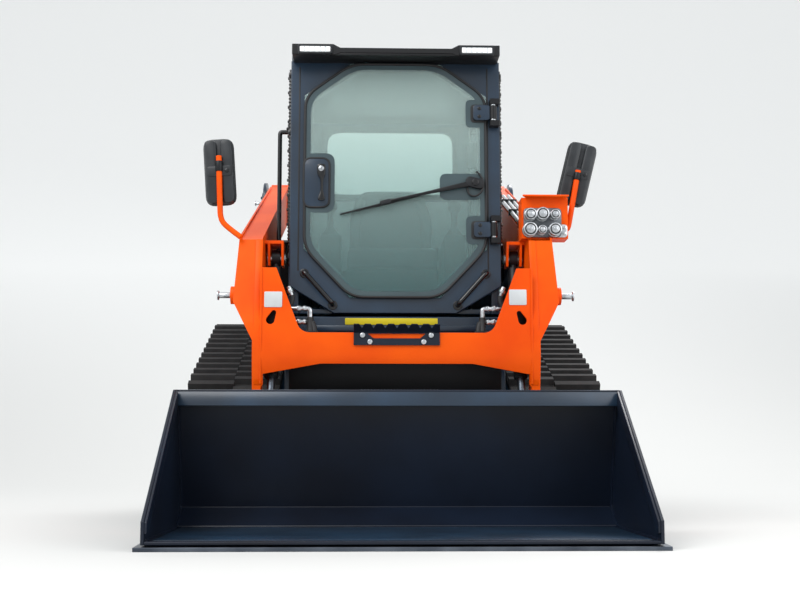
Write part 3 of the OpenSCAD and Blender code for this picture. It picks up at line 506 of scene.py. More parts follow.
# %% Glass rim
def octagon(half, low, high, cut_x, cut_low, cut_high):
    return [(-half + cut_x, low), (half - cut_x, low), (half, low + cut_low), (half, high - cut_high),
            (half - cut_x, high), (-half + cut_x, high), (-half, high - cut_high), (-half, low + cut_low)]


glass_low, glass_high = mm_box("door_glass")
GLASS_Y = glass_low[1]
DOOR_HALF = glass_high[0]
DOOR_Z = (glass_low[2], glass_high[2])
rim = rounded(octagon(DOOR_HALF - 2, DOOR_Z[0] + 2, DOOR_Z[1] - 2, 200, 212, 144), 60)
rim_inside = rounded(octagon(DOOR_HALF - 27, DOOR_Z[0] + 27, DOOR_Z[1] - 27, 190, 203, 136), 60)


def glass_plate(outline, out, back, round_mm):
    """A plate in front of the glass, between two distances from it."""
    return plate(outline, "y", GLASS_Y - out, GLASS_Y - back, round_mm)


def on_glass(outline, out, back, round_mm, name, finish):
    """One such plate as a piece of the door."""
    return settle(glass_plate(outline, out, back, round_mm), name, finish, "cab_door")


def glass_pin(x, z, out, back, radius, edge_mm=1.5):
    """A round bar that stands out from the glass."""
    return disc((x, GLASS_Y - out, z), (x, GLASS_Y - back, z), radius, edge_mm)


settle(ring(rim, rim_inside, "y", GLASS_Y - 1, GLASS_Y), "door_printed_band", frit_band, "cab_door")
settle(tube([(x, GLASS_Y - 2, z) for x, z in rim], 6, closed=True), "door_seal", hose_rubber, "cab_door")
print("door rim:", len(rim), "points")

# %% Handle with its lock
handle_low, handle_high = mm_box("door_handle")
PANEL_X = (handle_low[0] - 4, handle_high[0])
PANEL_Z = (handle_low[2], handle_high[2])
GRIP_X = -320
GRIP_Z = 1388
panel = soft_box((PANEL_X[0], PANEL_Z[0]), (PANEL_X[1], PANEL_Z[1]), 34)
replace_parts(on_glass(panel, 8, 0.5, 1, "handle_panel", slate_paint), "door_handle")
settle(tube([(x, GLASS_Y - 5, z) for x, z in panel], 5, closed=True), "handle_gasket", hose_rubber, "cab_door")
around = soft_box((PANEL_X[0] + 4, PANEL_Z[0] - 23), (PANEL_X[1] + 23, PANEL_Z[1] + 23), 42)
on_glass(around, 1.2, 0.2, 0, "handle_printed_band", frit_band)
GRIP_SHAPE = [(-18, 161), (18, 161), (18, 116), (9, 92), (9, 40), (16, 14), (16, 0), (-14, 0), (-14, 14), (-3, 40),
              (-3, 92), (-18, 116)]
LOCK_Z, GRIP_FOOT_Z = 1527, 1402
grip = rounded([(GRIP_X + x, GRIP_Z + z) for x, z in GRIP_SHAPE], 14)
grip_parts = [glass_plate(grip, 40, 24, 5), glass_pin(GRIP_X, LOCK_Z, 30, 6, 13),
              glass_pin(GRIP_X + 1, GRIP_FOOT_Z, 30, 6, 10)]
settle(grip_parts, "handle_grip", black_gloss, "cab_door")
lock = [glass_pin(GRIP_X, LOCK_Z, 44, 38, 12), glass_pin(GRIP_X, LOCK_Z, 46, 38, 8, 1)]
settle(lock, "handle_lock", bright_steel, "cab_door")
slot = block((GRIP_X - 1, GLASS_Y - 46.6, LOCK_Z - 6), (GRIP_X + 1, GLASS_Y - 45, LOCK_Z + 6), 0)
settle(slot, "lock_slot", hose_rubber, "cab_door")

# %% Wiper
WIPER_PIVOT = (345, 1474)
WIPER_END = (-42, 1388)
head = rounded(strip((304, 1483), (384, 1464), 46, 46), 26)
on_glass(head, 26, 1, 6, "wiper_head", charcoal_plastic)
arm = [glass_plate(strip(WIPER_PIVOT, (160, 1433), 24, 15), 24, 12, 4),
       glass_plate(strip((170, 1435), WIPER_END, 14, 8), 21, 12, 2.5)]
settle(arm, "wiper_arm", black_paint, "cab_door")
blade = [glass_plate(strip((149, 1429), (-45, 1381), 6, 13), 13, 6, 2),
         glass_plate(strip((-45, 1381), (-239, 1333), 13, 6), 13, 6, 2)]
settle(blade, "wiper_blade", black_paint, "cab_door")
on_glass(strip((149, 1429), (-239, 1333), 4, 4), 6, 0.5, 0.5, "wiper_rubber", hose_rubber)
patch = soft_box((192, 1401), (372, 1516), 30)
on_glass(patch, 1.4, 0.4, 0, "wiper_printed_patch", frit_band)
on_glass(strip((-20, 1392), (-66, 1381), 20, 20), 25, 9, 4, "wiper_clip", charcoal_plastic)
settle(glass_pin(*WIPER_PIVOT, 32, 20, 15, 3), "wiper_nut", black_gloss, "cab_door")
WASHER_LINE = [(353, 8, 1525), (380, 16, 1496), (380, 18, 1440), (345, 16, 1410), (309, 12, 1426), (312, 8, 1462)]
washer = tube([(x, GLASS_Y - out, z) for x, out, z in WASHER_LINE], 4.5)
settle(washer, "washer_tube", hose_rubber, "cab_door")
print("wiper reaches from", WIPER_PIVOT, "to", WIPER_END)

# %% Hinge leaves
HINGE = (425, -664)
HINGE_ZS = (1268, 1784)
for number, z in enumerate(HINGE_ZS):
    leaf = soft_box((338, z - 33), (412, z + 33), 14)
    on_glass(leaf, 23, 14, 2, f"hinge_leaf_{number}", slate_paint)
    gasket = soft_box((328, z - 40), (400, z + 40), 16)
    on_glass(gasket, 4, 0.5, 1, f"hinge_gasket_{number}", hose_rubber)
    screws = [dome((364, GLASS_Y - 23, z + dz), (0, -1, 0), 8, 4) for dz in (-18, 18)]
    settle(screws, f"hinge_screws_{number}", black_gloss, "cab_door")
    printed = soft_box((306, z - 62), (384, z + 62), 24)
    on_glass(printed, 1.3, 0.3, 0, f"hinge_printed_patch_{number}", frit_band)
    # Washers at both ends of the knuckle leave the pin free.
    caps = [collar((*HINGE, z + a), (*HINGE, z + b), 12, 9.6, 1) for a, b in ((-35.6, -29), (29, 35.6))]
    settle(caps, f"hinge_pin_caps_{number}", bright_steel, "cab_door")

# %% [markdown]
# ## Mirrors
# A mirror is a moulded shell with two raised pads, a groove for its clamp and a silvered glass, on a bent steel stalk.
# The shell could be carved from a box, but an outline with round corners and a soft edge is closer to a moulding.

# %% Mirrors on their stalks
def mirror_head(name, middle, front, lean_deg):
    """A mirror built upright at the origin, then leaned and moved to its place."""
    shell = [plate(soft_box((-64, -142), (64, 142), 40), "y", 0, 30, 9)]
    for low, high in ((-59, -7), (9, 59)):
        shell.append(plate(soft_box((low, -136), (high, 136), 24), "y", -16, 6, 10))
    shell.append(plate(soft_box((-50, -22), (52, 22), 10), "y", -19, 4, 4))
    face = plate(soft_box((-57, -135), (57, 135), 36), "y", 29, 31.5, 0.6)
    screw = dome((32, -19, 0), (0, -1, 0), 9, 4)
    for piece, part, finish in ((join(shell), "shell", mirror_plastic), (face, "glass", mirror_silver),
                                (screw, "screw", black_gloss)):
        piece.rotation_euler[1] = math.radians(lean_deg)
        piece.location = Vector((middle[0], front, middle[1])) * MM
        settle(piece, f"{name}_mirror_{part}", finish, "boom")


mirror_head("left", (-742, 1485), -790, -4)
mirror_head("right", (792, 1520), -640, 14)
left_stalk = tube([(-648, -812, 1205), (-690, -812, 1236), (-722, -812, 1264), (-732, -812, 1290), (-735, -812, 1320),
                   (-744, -812, 1548)], 12, sides=16)
right_stalk = tube([(725, -662, 1268), (738, -662, 1268), (746, -662, 1280), (752, -662, 1310), (793, -662, 1530)],
                   12, sides=16)
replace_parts(settle([left_stalk, right_stalk], "mirror_stalks", orange_paint, "boom"), "mirrors")
clamps = [disc((-742, -812, 1482), (-743, -812, 1526), 15.5, 2), disc((785, -662, 1488), (791, -662, 1520), 15.5, 2)]
settle(clamps, "mirror_clamps", black_paint, "boom")

# %% [markdown]
# ## Hydraulic couplings
# Six quick couplings point forward on the right arm. Each has a sleeve, a dark seal groove, a lip and a sprung poppet.
# They could be spun from a profile, but stacked discs with round rims show the same steps that a lathe leaves.

# %% Coupling rings
COUPLINGS = ((566, 1312, 24), (617, 1314, 26), (670, 1312, 19), (564, 1248, 28), (615, 1246, 17), (669, 1248, 26))
BLOCK_FRONT = mm_box("coupler_block")[0][1]
NOSE = mm_box("couplings")[0][1]
rings, grooves = [], []
for x, z, r in COUPLINGS:
    rings += [disc((x, BLOCK_FRONT - 24, z), (x, BLOCK_FRONT - 4, z), r + 2.5, 2.5, 24),
              disc((x, NOSE - 3, z), (x, NOSE + 12, z), r + 1.5, 3),
              disc((x, NOSE - 6, z), (x, NOSE, z), r * 0.66, 2),
              disc((x, NOSE - 9, z), (x, NOSE - 4, z), r * 0.3, 1.5, 20)]
    grooves += [disc((x, NOSE + 16, z), (x, NOSE + 22, z), r + 0.8, 0.5),
                disc((x, NOSE - 3.6, z), (x, NOSE - 2, z), r * 0.86, 0.3)]
# The manifold behind the couplings is dull zinc, darkened partly as painted shade in the gaps between them.
manifold = plate(soft_box((541, 1220), (702, 1346), 20), "y", BLOCK_FRONT - 9, BLOCK_FRONT + 1, 2)
settle(manifold, "coupling_manifold", zinc_grey_and_gap_shade, "boom")
settle(rings, "coupling_rings", bright_steel, "boom")
settle(grooves, "coupling_seals", hose_rubber, "boom")
print("couplings:", len(COUPLINGS))

# %% Coupling hood and flange
hood = plate([(533, -784), (731, -784), (697, -648), (598, -648)], "z", 1390, 1398, 2)
settle(hood, "coupling_hood", orange_paint, "boom")
flange = [plate(soft_box((634, 1220), (727, 1276), 16), "y", BLOCK_FRONT - 7, BLOCK_FRONT + 1, 1.5)]
flange += [bolt((713, BLOCK_FRONT - 7, z), (0, -1, 0), 7, 6) for z in (1236, 1262)]
settle(flange, "coupling_flange", bright_steel, "boom")

# %% Lines along the right arm
BOOM_PIVOT = (970, 1700)
ARM_FRONT, ARM_FRONT_TOP = -790, 1198


def arm_top(y):
    """Height of the arms' top at a place along them, in millimetres."""
    return ARM_FRONT_TOP + (y - ARM_FRONT) * (mm_box("arm_right")[1][2] - ARM_FRONT_TOP) / (BOOM_PIVOT[0] - ARM_FRONT)


def line_points(x, lift):
    return [(x, y, arm_top(y) + lift) for y in range(-640, 620, 140)]


lines = [tube([(548 + 22 * n, -650, 1334 + 6 * n), *line_points(572 + 26 * n, 14)], 10) for n in range(3)]
lines += [disc((x, y, arm_top(y) + 14), (x, y + 34, arm_top(y + 34) + 14), 16, 2, 6)
          for x, y in ((572, -598), (598, -570), (624, -598))]
settle(lines, "arm_lines", bright_steel, "boom")
clips = [block((558, y - 12, arm_top(y) - 6), (640, y + 12, arm_top(y) + 28), 4) for y in (-420, -80, 260)]
settle(clips, "line_clips", black_paint, "boom")

# %% [markdown]
# ## Boom front
# The arms are welded boxes. A ridge is left where the leg's side plate stands proud, and weld beads run up the gussets.
# Two blank plates, the step's screws, and plated elbows for the tool hoses are fixed to the front.
# Beads could be bump in the paint, but their edge catches the light, so they are thin tubes, and the ridge is a plate.

# %% Ridges, beads and plates
LEG_FRONT = -865
LEG_IN = 555


def ridge(side):
    outline = [(LEG_FRONT + 22, 590), (LEG_FRONT - 4, 851), (-794, 1199), (-788, 1197), (LEG_FRONT + 1, 850),
               (LEG_FRONT + 27, 590)]
    return plate(outline, "x", *reach(side, LEG_IN + 1, LEG_IN + 30), 2)


pair(ridge, "arm_ridges", orange_paint, "boom")


def top_flange(side):
    ends = ((-785, -752), (-640, 820)) if side > 0 else ((-785, 820),)
    return join([plate([(a, arm_top(a) - 3), (b, arm_top(b) - 3), (b, arm_top(b) + 12), (a, arm_top(a) + 12)],
                       "x", *reach(side, 647, 656), 3) for a, b in ends])


pair(top_flange, "arm_flanges", orange_paint, "boom")


def bead(side):
    line = ((LEG_FRONT + 22, 595), (LEG_FRONT, 711), (LEG_FRONT, 900), (LEG_FRONT, 1068))
    return tube([(side * LEG_IN, y, z) for y, z in line], 5)


pair(bead, "gusset_beads", orange_paint, "boom")
blanks = [plate(rounded(rectangle(*corners), 5), "y", LEG_FRONT - 2, LEG_FRONT + 0.5, 0.4)
          for corners in (((-542, 906), (-469, 970)), ((462, 918), (534, 982)))]
settle(blanks, "blank_plates", blank_white, "boom")
step_face = mm_box("step_plate")[0][1] + 30
screws = [dome((x, step_face, z), (0, -1, 0), 11, 7) for x, z in ((-140, 791), (-110, 764), (140, 791), (110, 764))]
settle(screws, "step_screws", bright_steel, "boom")


# %% Hose elbows
HOSE_Y = -800
# Each bar has its two ends as x and z, its radius, its round and its number of sides.
ELBOW_BARS = (
    ((445, 908), (374, 908), 9), ((412, 908), (396, 908), 14, 2, 6), ((385, 908), (372, 908), 13, 2, 6),
    ((445, 853), (376, 853), 9), ((411, 853), (394, 853), 14, 2, 6), ((385, 853), (374, 853), 13, 2, 6),
    ((447, 1000), (434, 962), 9), ((443, 988), (438, 974), 14, 2, 6))
ELBOW_BEND = [(374, HOSE_Y, 908), (358, HOSE_Y, 908), (357, HOSE_Y, 892), (357, HOSE_Y, 868)]
HOSES = (
    (14, [(357, HOSE_Y, 872), (357, HOSE_Y, 840), (357, -815, 802)]),
    (12, [(376, HOSE_Y, 853), (352, HOSE_Y, 853), (340, -806, 836), (338, -815, 802)]),
    (12, [(434, HOSE_Y, 962), (430, HOSE_Y, 940), (446, HOSE_Y, 916), (466, -815, 880), (470, -845, 850)]),
    (12, [(445, HOSE_Y, 908), (470, -806, 900), (480, -845, 880)]),
    (12, [(445, HOSE_Y, 853), (466, -806, 846), (474, -848, 836)]))


def elbows(side):
    parts = [disc((side * a[0], HOSE_Y, a[1]), (side * b[0], HOSE_Y, b[1]), *size) for a, b, *size in ELBOW_BARS]
    return join([*parts, tube(on_side(side, ELBOW_BEND), 10)])


def hoses(side):
    return join([tube(on_side(side, points), radius) for radius, points in HOSES])


pair(elbows, "hose_elbows", bright_steel, "boom")
pair(hoses, "boom_hoses", hose_rubber, "boom")


def hose_clamp(side):
    low, high = reach(side, 322, 376)
    return block((low, -834, 799), (high, -792, 813), 3)


pair(hose_clamp, "hose_clamps", black_paint, "boom")


# Black plates behind the gussets are painted shade in the holes and gaps there.
def gusset_shade_plate(side):
    low, high = reach(side, 470, LEG_IN + 3)
    return block((low, -784, 812), (high, -778, 930), 2)


pair(gusset_shade_plate, "gusset_painted_shade", black_paint, "boom")

# %% Pin heads
LIFT_BASE = (1100, 1080)
BUCKET_PIVOT = (-825, 220)
STUB_PIN = (-800, 962)


def pivot_caps(side):
    caps = [side_disc(side, 696, 708, BOOM_PIVOT, 62, 4), side_disc(side, 704, 712, BOOM_PIVOT, 34, 3),
            side_disc(side, 696, 706, LIFT_BASE, 44, 3)]
    for a in (0.5, 2.6, 4.7):
        caps.append(side_bolt(side, 707, (BOOM_PIVOT[0] + 46 * math.cos(a), BOOM_PIVOT[1] + 46 * math.sin(a)), 8, 6))
    caps.append(side_bolt(side, 706, LIFT_BASE, 11, 7))
    return join(caps)


def headed_pin(side, start, end, at, radius, head):
    """A pin that points outward, with a flat head on its end."""
    return join([side_disc(side, start, end, at, radius, 1), side_disc(side, end - 2, end + 5, at, head, 2)])


def bucket_cap(side):
    return join([side_disc(side, 618, 627, BUCKET_PIVOT, 36, 3), side_bolt(side, 627, BUCKET_PIVOT, 10, 7)])


pair(pivot_caps, "pivot_caps", slate_paint)
pair(lambda side: headed_pin(side, 684, 736, STUB_PIN, 12, 20), "stub_pins", bright_steel, "boom")
pair(lambda side: headed_pin(side, 710, 746, BOOM_PIVOT, 9, 15), "pivot_pins", bright_steel)
pair(bucket_cap, "bucket_pin_caps", bright_steel, "bucket")

# %% [markdown]
# ## Bucket
# A bucket is welded from bent plate. Its side plates carry a flat along their front edge, with fillet welds inside.
# A toothed tread plate on its top edge is the operator's first step into the cab.
# Welds could be bump in the paint, but they round off the inner corners, so each is a tube along its corner.

# %% Edge flats, welds and tread plate
BUCKET_IN = mm_box("bucket_sides")[1][0] - 12


def edge_flat(side):
    outline = [(-1762, 94), (-1142, 552), (-1108, 512), (-1726, 56), (-1762, 56)]
    return plate(outline, "x", *reach(side, BUCKET_IN - 8, BUCKET_IN + 1), 2)


pair(edge_flat, "bucket_edge_flats", bucket_paint, "bucket")


def fillet_weld(side):
    x = side * (BUCKET_IN - 1)
    return tube([(x, -1745, 33), (x, -1400, 33), (x, -1082, 33), (x, -1040, 48), (x, -962, 98), (x, -960, 118),
                 (x, -1020, 320), (x, -1082, 530)], 6, sides=8)


floor_weld = tube([(x, -1070, 36) for x in (4 - BUCKET_IN, -400, 400, BUCKET_IN - 4)], 4, sides=8)
settle([*both_sides(fillet_weld), floor_weld], "bucket_welds", bucket_paint, "bucket")
# The rim band leans back to catch the sky, and its lighter slate paint is a painted highlight on the bucket's top edge.
RIM_LINE = [(-1128, 558), (-1121, 556), (-1134, 494), (-1141, 496)]
settle(plate(RIM_LINE, "x", 1 - BUCKET_IN, BUCKET_IN - 1, 2), "bucket_rim", slate_paint, "bucket")
# A thin plate in lighter slate paint on the bucket's floor is painted sheen where the floor faces the sky.
floor_sheen_plate = block((24 - BUCKET_IN, -1735, 31), (BUCKET_IN - 24, -1092, 35), 1.5)
settle(floor_sheen_plate, "bucket_floor_painted_sheen", slate_paint, "bucket")
TOOTH, TREAD_X, TREAD_Z = 13, (-149, 163), 546
teeth = [(TREAD_X[0] + TOOTH * n / 2, 566 if n % 2 else 553) for n in range(49)]
teeth = [(TREAD_X[0], TREAD_Z), *teeth, (TREAD_X[1], TREAD_Z)]
tread = [plate(teeth, "y", -1012, -1005, 0.6), block((TREAD_X[0], -1080, TREAD_Z), (TREAD_X[1], -1006, TREAD_Z + 6), 1)]
settle(tread, "bucket_tread", worn_steel, "bucket")
print("tread teeth:", len(teeth) // 2)

# %% [markdown]
# ## Cab
# Two light bars sit in the visor. Each has a black bezel and a row of lenses. Rubber seams line the door opening.
# On the roof, pressed ribs stiffen the sheet, and a gutter runs round it.
# A bezel could be cut from a box, but a frame between two outlines gives an even rim in one step.

# %% Light bars and seams
lens_low, lens_high = mm_box("work_lamps")
LENS_X = (280, lens_high[0])


def light_bar(side):
    xs = reach(side, *LENS_X)
    outer = soft_box((xs[0] - 7, lens_low[2] - 6), (xs[1] + 7, lens_high[2] + 6), 10)
    inner = soft_box((xs[0] + 2, lens_low[2] + 2), (xs[1] - 2, lens_high[2] - 2), 6)
    return ring(outer, inner, "y", lens_low[1] - 3, lens_high[1] + 2, 1)


def lenses(side):
    step = (LENS_X[1] - LENS_X[0]) / 6
    cells = [(side * (LENS_X[0] + step * (n + 0.5))) for n in range(6)]
    return join([block((x - 9, lens_low[1] - 2, lens_low[2] + 4), (x + 9, lens_low[1] + 1, lens_high[2] - 4), 2)
                 for x in cells])


pair(light_bar, "light_bar_bezels", charcoal_plastic)
pair(lenses, "light_bar_lenses", led_cell)
CAB_FRONT = -630
seams = [block((x - 3, CAB_FRONT - 1.5, 1090), (x + 3, CAB_FRONT + 1, 1990), 0.5) for x in (-418, 402)]
settle(seams, "door_seams", hose_rubber)
visor_low, visor_high = mm_box("cab_visor")
# A black block under the visor is painted shade beneath it.
visor_shade_block = block((visor_low[0] + 4, visor_low[1] + 3, visor_low[2] - 2),
              (visor_high[0] - 4, CAB_FRONT, visor_low[2] + 10), 1)
settle(visor_shade_block, "visor_painted_shade", black_paint)

# %% Grab handles
GRAB_ENDS = ((268, 942), (391, 1079))


def grab_handle(side):
    """A bent tube with both ends on the cab's front."""
    (foot_x, foot_z), (top_x, top_z) = GRAB_ENDS
    out = CAB_FRONT - 58
    points = [(foot_x, CAB_FRONT + 2, foot_z), (foot_x, out + 20, foot_z), (foot_x + 3, out, foot_z + 4),
              (foot_x + 20, out - 2, foot_z + 22), (top_x - 20, out - 2, top_z - 22), (top_x - 3, out, top_z - 4),
              (top_x, out + 20, top_z), (top_x, CAB_FRONT + 2, top_z)]
    return tube(on_side(side, points), 11, sides=16)


def handle_feet(side):
    return join([disc((side * x, CAB_FRONT - 6, z), (side * x, CAB_FRONT + 1, z), 20, 2) for x, z in GRAB_ENDS])


RAIL_Y = -470
RAIL_LINE = [(-454, 1740), (-490, 1740), (-508, 1740), (-513, 1734), (-513, 1700), (-513, 1280), (-513, 1246),
             (-508, 1240), (-490, 1240), (-454, 1240)]
rail = tube([(x, RAIL_Y, z) for x, z in RAIL_LINE], 10, sides=16)
handles = join([*both_sides(grab_handle), *both_sides(handle_feet), rail])
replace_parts(settle(handles, "grab_tubes", black_gloss), "grab_handles")

# %% Brackets of the left rail
# The rail's feet reach the window opening, so flat brackets carry them from the guard's front bar and from the pillar.
GUARD_FACE = mm_box("side_guards")[1][0]
PILLAR_FACE = mm_box("cab_side_right")[1][0]
brackets = []
for face, front, z, bolt_ys in ((GUARD_FACE, -548, 1740, (19,)), (PILLAR_FACE, -572, 1240, (18, 46))):
    shape = soft_box((front, z - 20), (-452, z + 20), 14)
    brackets.append(plate(shape, "x", -face - 6, -face + 1, 1.5))
    brackets += [bolt((-face - 6, front + dy, z), (-1, 0, 0), 6, 5) for dy in bolt_ys]
settle(brackets, "rail_brackets", black_paint)

# %% Guard bolts
GUARD_BOLTS = [(-529, z) for z in range(1310, 1980, 66)]
GUARD_BOLTS += [(y, z) for z in (1271, 1991) for y in range(-440, 400, 120)]


def guard_bolts(side):
    return join([side_bolt(side, GUARD_FACE, place, 7, 6) for place in GUARD_BOLTS])


pair(guard_bolts, "guard_bolts", black_paint)
print("guard bolts:", 2 * len(GUARD_BOLTS))

# %% [markdown]
# ## Wiring conduit
# A ribbed plastic conduit runs up each front corner of the cab to the lamps, held by clips.
# Its ribs could be bump in a material, but they show against the sky, so they are rings on a straight tube.

# %% Conduit
# It lies half sunk in a channel, so that the tilt pins pass 5 mm clear of it when the boom lifts.
CONDUIT = (PILLAR_FACE + 3, -572)
CONDUIT_Z = (1118, 1996)


def conduit(side):
    x, y = side * CONDUIT[0], CONDUIT[1]
    parts = [disc((x, y, CONDUIT_Z[0]), (x, y, CONDUIT_Z[1]), 8, 1, 16)]
    parts += [disc((x, y, z), (x, y, z + 9), 11, 2.5, 12) for z in range(CONDUIT_Z[0] + 6, CONDUIT_Z[1] - 12, 16)]
    parts += [block((x - 11, y - 13, z), (x + 11, y + 13, z + 22), 3) for z in (1150, 1420, 1700, 1960)]
    return join(parts)


pair(conduit, "lamp_conduit", black_gloss)
print("conduit from", *CONDUIT_Z)

# %% [markdown]
# ## Dark sheets at the towers
# Sheet steel closes the back of each tower and its gap to the engine bay, so no daylight shows past the cab. The sheets
# are black as painted shade, where these gaps lie in shadow.
# A folded sheet could be bent from one plate, but a flat one with a lip is what is welded in.

# %% Tower shade sheets
TOWER_GAP = [(469, 878), (535, 878), (535, 1490), (478, 1490), (478, 1388), (469, 1388)]
TOWER_BACK = [(1326, 756), (1326, 960), (1146, 1500), (1138, 1497), (1318, 958), (1318, 756)]


def tower_shade_sheet(side):
    between = [(side * x, z) for x, z in TOWER_GAP]
    lip = reach(side, 480, 524)
    return join([plate(between, "y", 894, 900), block((lip[0], 886, 900), (lip[1], 896, 1470), 4),
                 plate(TOWER_BACK, "x", *reach(side, 551, 679))])


pair(tower_shade_sheet, "tower_shade_sheets", black_paint)

# %% Rear window seal
pane_low, pane_high = mm_box("rear_window")
outer = soft_box((pane_low[0] - 14, pane_low[2] - 14), (pane_high[0] + 14, pane_high[2] + 14), 40)
inner = soft_box((pane_low[0] + 12, pane_low[2] + 12), (pane_high[0] - 12, pane_high[2] - 12), 70)
settle(ring(outer, inner, "y", pane_low[1] - 26, pane_high[1] + 4, 2), "rear_window_seal", hose_rubber)

# %% Roof ribs and gutter
roof_low, roof_high = mm_box("cab_roof")
ribs = [plate(soft_box((x - 28, roof_low[1] + 110), (x + 28, roof_high[1] - 90), 26), "z",
              roof_high[2] - 2, roof_high[2] + 7, 4) for x in (-270, -90, 90, 270)]
settle(ribs, "roof_ribs", slate_paint)
gutter = soft_box((roof_low[0] + 4, roof_low[1] + 60), (roof_high[0] - 4, roof_high[1] - 4), 24)
settle(tube([(x, y, roof_high[2] + 1) for x, y in gutter], 5, closed=True), "roof_gutter", slate_paint)

# %% Front of the frame
FRAME_FRONT = mm_box("main_frame")[0][1]
# A black plate on the frame's lower front is painted shade of the recess under the cross member.
front_shade_plate = block((-452, FRAME_FRONT - 4, 575), (452, FRAME_FRONT + 1, 800), 2)
settle(front_shade_plate, "front_painted_shade", black_paint)
sill = block((-356, FRAME_FRONT - 10, 827), (356, FRAME_FRONT + 1, 853), 3)
settle(sill, "front_sill", slate_paint)
band = plate(soft_box((-215, 857), (181, 885), 4), "y", FRAME_FRONT - 3, FRAME_FRONT + 1, 0.5)
settle(band, "front_band", strip_yellow)
print("frame front at", FRAME_FRONT)

# %% [markdown]
# ## Seat
# The seat is foam under vinyl, with a bolster down each side of its back, on a plain pedestal.
# A cushion could be sculpted, but a plate with very round edges that is then smoothed bulges as foam does.

# %% Cushions, belt fittings and lining
def cushion(outline, axis, low, high, name, node):
    """A stuffed piece from an outline across an axis."""
    piece = plate(rounded(outline, 40), axis, low, high, 0)
    round_edges(piece, 26, 5)
    pick(piece)
    bulge = piece.modifiers.new("bulge", "SMOOTH")
    bulge.factor = 0.4
    bulge.iterations = 4
    bpy.ops.object.modifier_apply(modifier=bulge.name)
    settle(piece, name, seat_vinyl)
    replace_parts(piece, node)
    return piece


SEAT_SIDE = [(-100, 1180), (330, 1180), (330, 1288), (-60, 1288), (-100, 1262)]
BACK_FRONT = [(-196, 1288), (196, 1288), (204, 1480), (150, 1642), (-150, 1642), (-204, 1480)]
BOLSTER = [(176, 312, 1300), (184, 310, 1400), (182, 314, 1500), (150, 326, 1590)]
cushion(SEAT_SIDE, "x", -215, 215, "seat_pad", "seat_cushion")
cushion(BACK_FRONT, "y", 318, 400, "seat_back_pad", "seat_back")
bolsters = both_sides(lambda side: tube(on_side(side, BOLSTER), 28, sides=16))
bolster_pads = settle(bolsters, "seat_bolsters", seat_vinyl)
belt = [block((-244, 230, 1140), (-219, 310, 1215), 8), block((219, 240, 1130), (234, 262, 1285), 4),
        block((216, 232, 1270), (241, 270, 1332), 6)]
settle(belt, "seat_belt_fittings", black_paint)
lining = [block((-404, 420, 950), (404, 431, 1606), 4)]
lining += [block((x - 3, 416, 970), (x + 3, 424, 1590), 1.5) for x in (-300, 300)]
settle(lining, "cab_lining", lining_grey)

# %% [markdown]
# ## Hydraulic cylinders
# Each barrel ends in a gland nut with a wiper seal, and a steel line joins the two ports of each lift barrel.
# Nut and seal could be plain discs, but the rod slides through them, so they are rings.
# They stand on the barrel's axis, which is found from the two pins that the cylinder joins.

# %% Glands, seals and ports
def along_axis(base, eye, x, distance):
    """The place at a distance from the base pin along a cylinder's axis."""
    d = (Vector(eye) - Vector(base)).normalized()
    return Vector((x, base[0] + d[0] * distance, base[1] + d[1] * distance))


def gland(base, eye, x, radius, rod_radius, end):
    """The nut and the seal at the end of a barrel."""
    places = [along_axis(base, eye, x, end + offset) for offset in (-26, 3, 1, 7)]
    return (collar(*places[:2], radius + 3, rod_radius + 1),
            collar(*places[2:], rod_radius + 5, rod_radius + 0.8, 1))


def ports(base, eye, x, radius, start, end, out):
    """Two port bosses on the barrel with the steel line that joins them."""
    out = Vector(out)
    parts = []
    for place in (start, end):
        foot = along_axis(base, eye, x, place)
        parts.append(disc(foot + out * (radius - 4), foot + out * (radius + 8), 11, 1.5, 20))
    ends = [along_axis(base, eye, x, place) + out * (radius + 7) for place in (start, start + 26, end - 26, end)]
    parts.append(tube([tuple(p) for p in ends], 6))
    return parts


LIFT = (LIFT_BASE, (-80, 1190))
LIFT_X, LIFT_R, LIFT_ROD_R, LIFT_END = 615, 45, 25, 1080
LIFT_PORTS = (120, 1030, (0, -0.0928, -0.9957))
TILT = ((-570, 1150), (-850, 500))
TILT_X, TILT_R, TILT_ROD_R, TILT_END = 515, 26, 16, 572
for side, label in ((1, "right"), (-1, "left")):
    nut, seal = gland(*LIFT, side * LIFT_X, LIFT_R, LIFT_ROD_R, LIFT_END)
    settle(nut, f"lift_gland_{label}", black_paint, "lift_barrel_pair")
    settle(seal, f"lift_seal_{label}", hose_rubber, "lift_barrel_pair")
    bosses = ports(*LIFT, side * LIFT_X, LIFT_R, *LIFT_PORTS)
    settle(bosses, f"lift_ports_{label}", black_paint, "lift_barrel_pair")
    nut, seal = gland(*TILT, side * TILT_X, TILT_R, TILT_ROD_R, TILT_END)
    settle(nut, f"tilt_gland_{label}", black_paint, "tilt_barrel_pair")
    settle(seal, f"tilt_seal_{label}", hose_rubber, "tilt_barrel_pair")

# %% [markdown]
# ## Operator's place
# Rubber boots close the foot of each lever, the mat has ribs for the feet, and a display stands by the window.
# A boot could be spun from a profile, but it is a stack of ever smaller rolls, so it is made of rounded discs.

# %% Boots, mat and display
lever_x = (mm_box("consoles")[1][0] + mm_box("seat_base")[1][0] + 25) / 2
LEVER_Y, LEVER_Z, ROLL = -90, 1330, 12


def boot(side):
    x = side * lever_x
    return join([disc((x, LEVER_Y, LEVER_Z + ROLL * n - 2), (x, LEVER_Y, LEVER_Z + ROLL * n + 11), 44 - 7 * n, 5)
                 for n in range(4)])


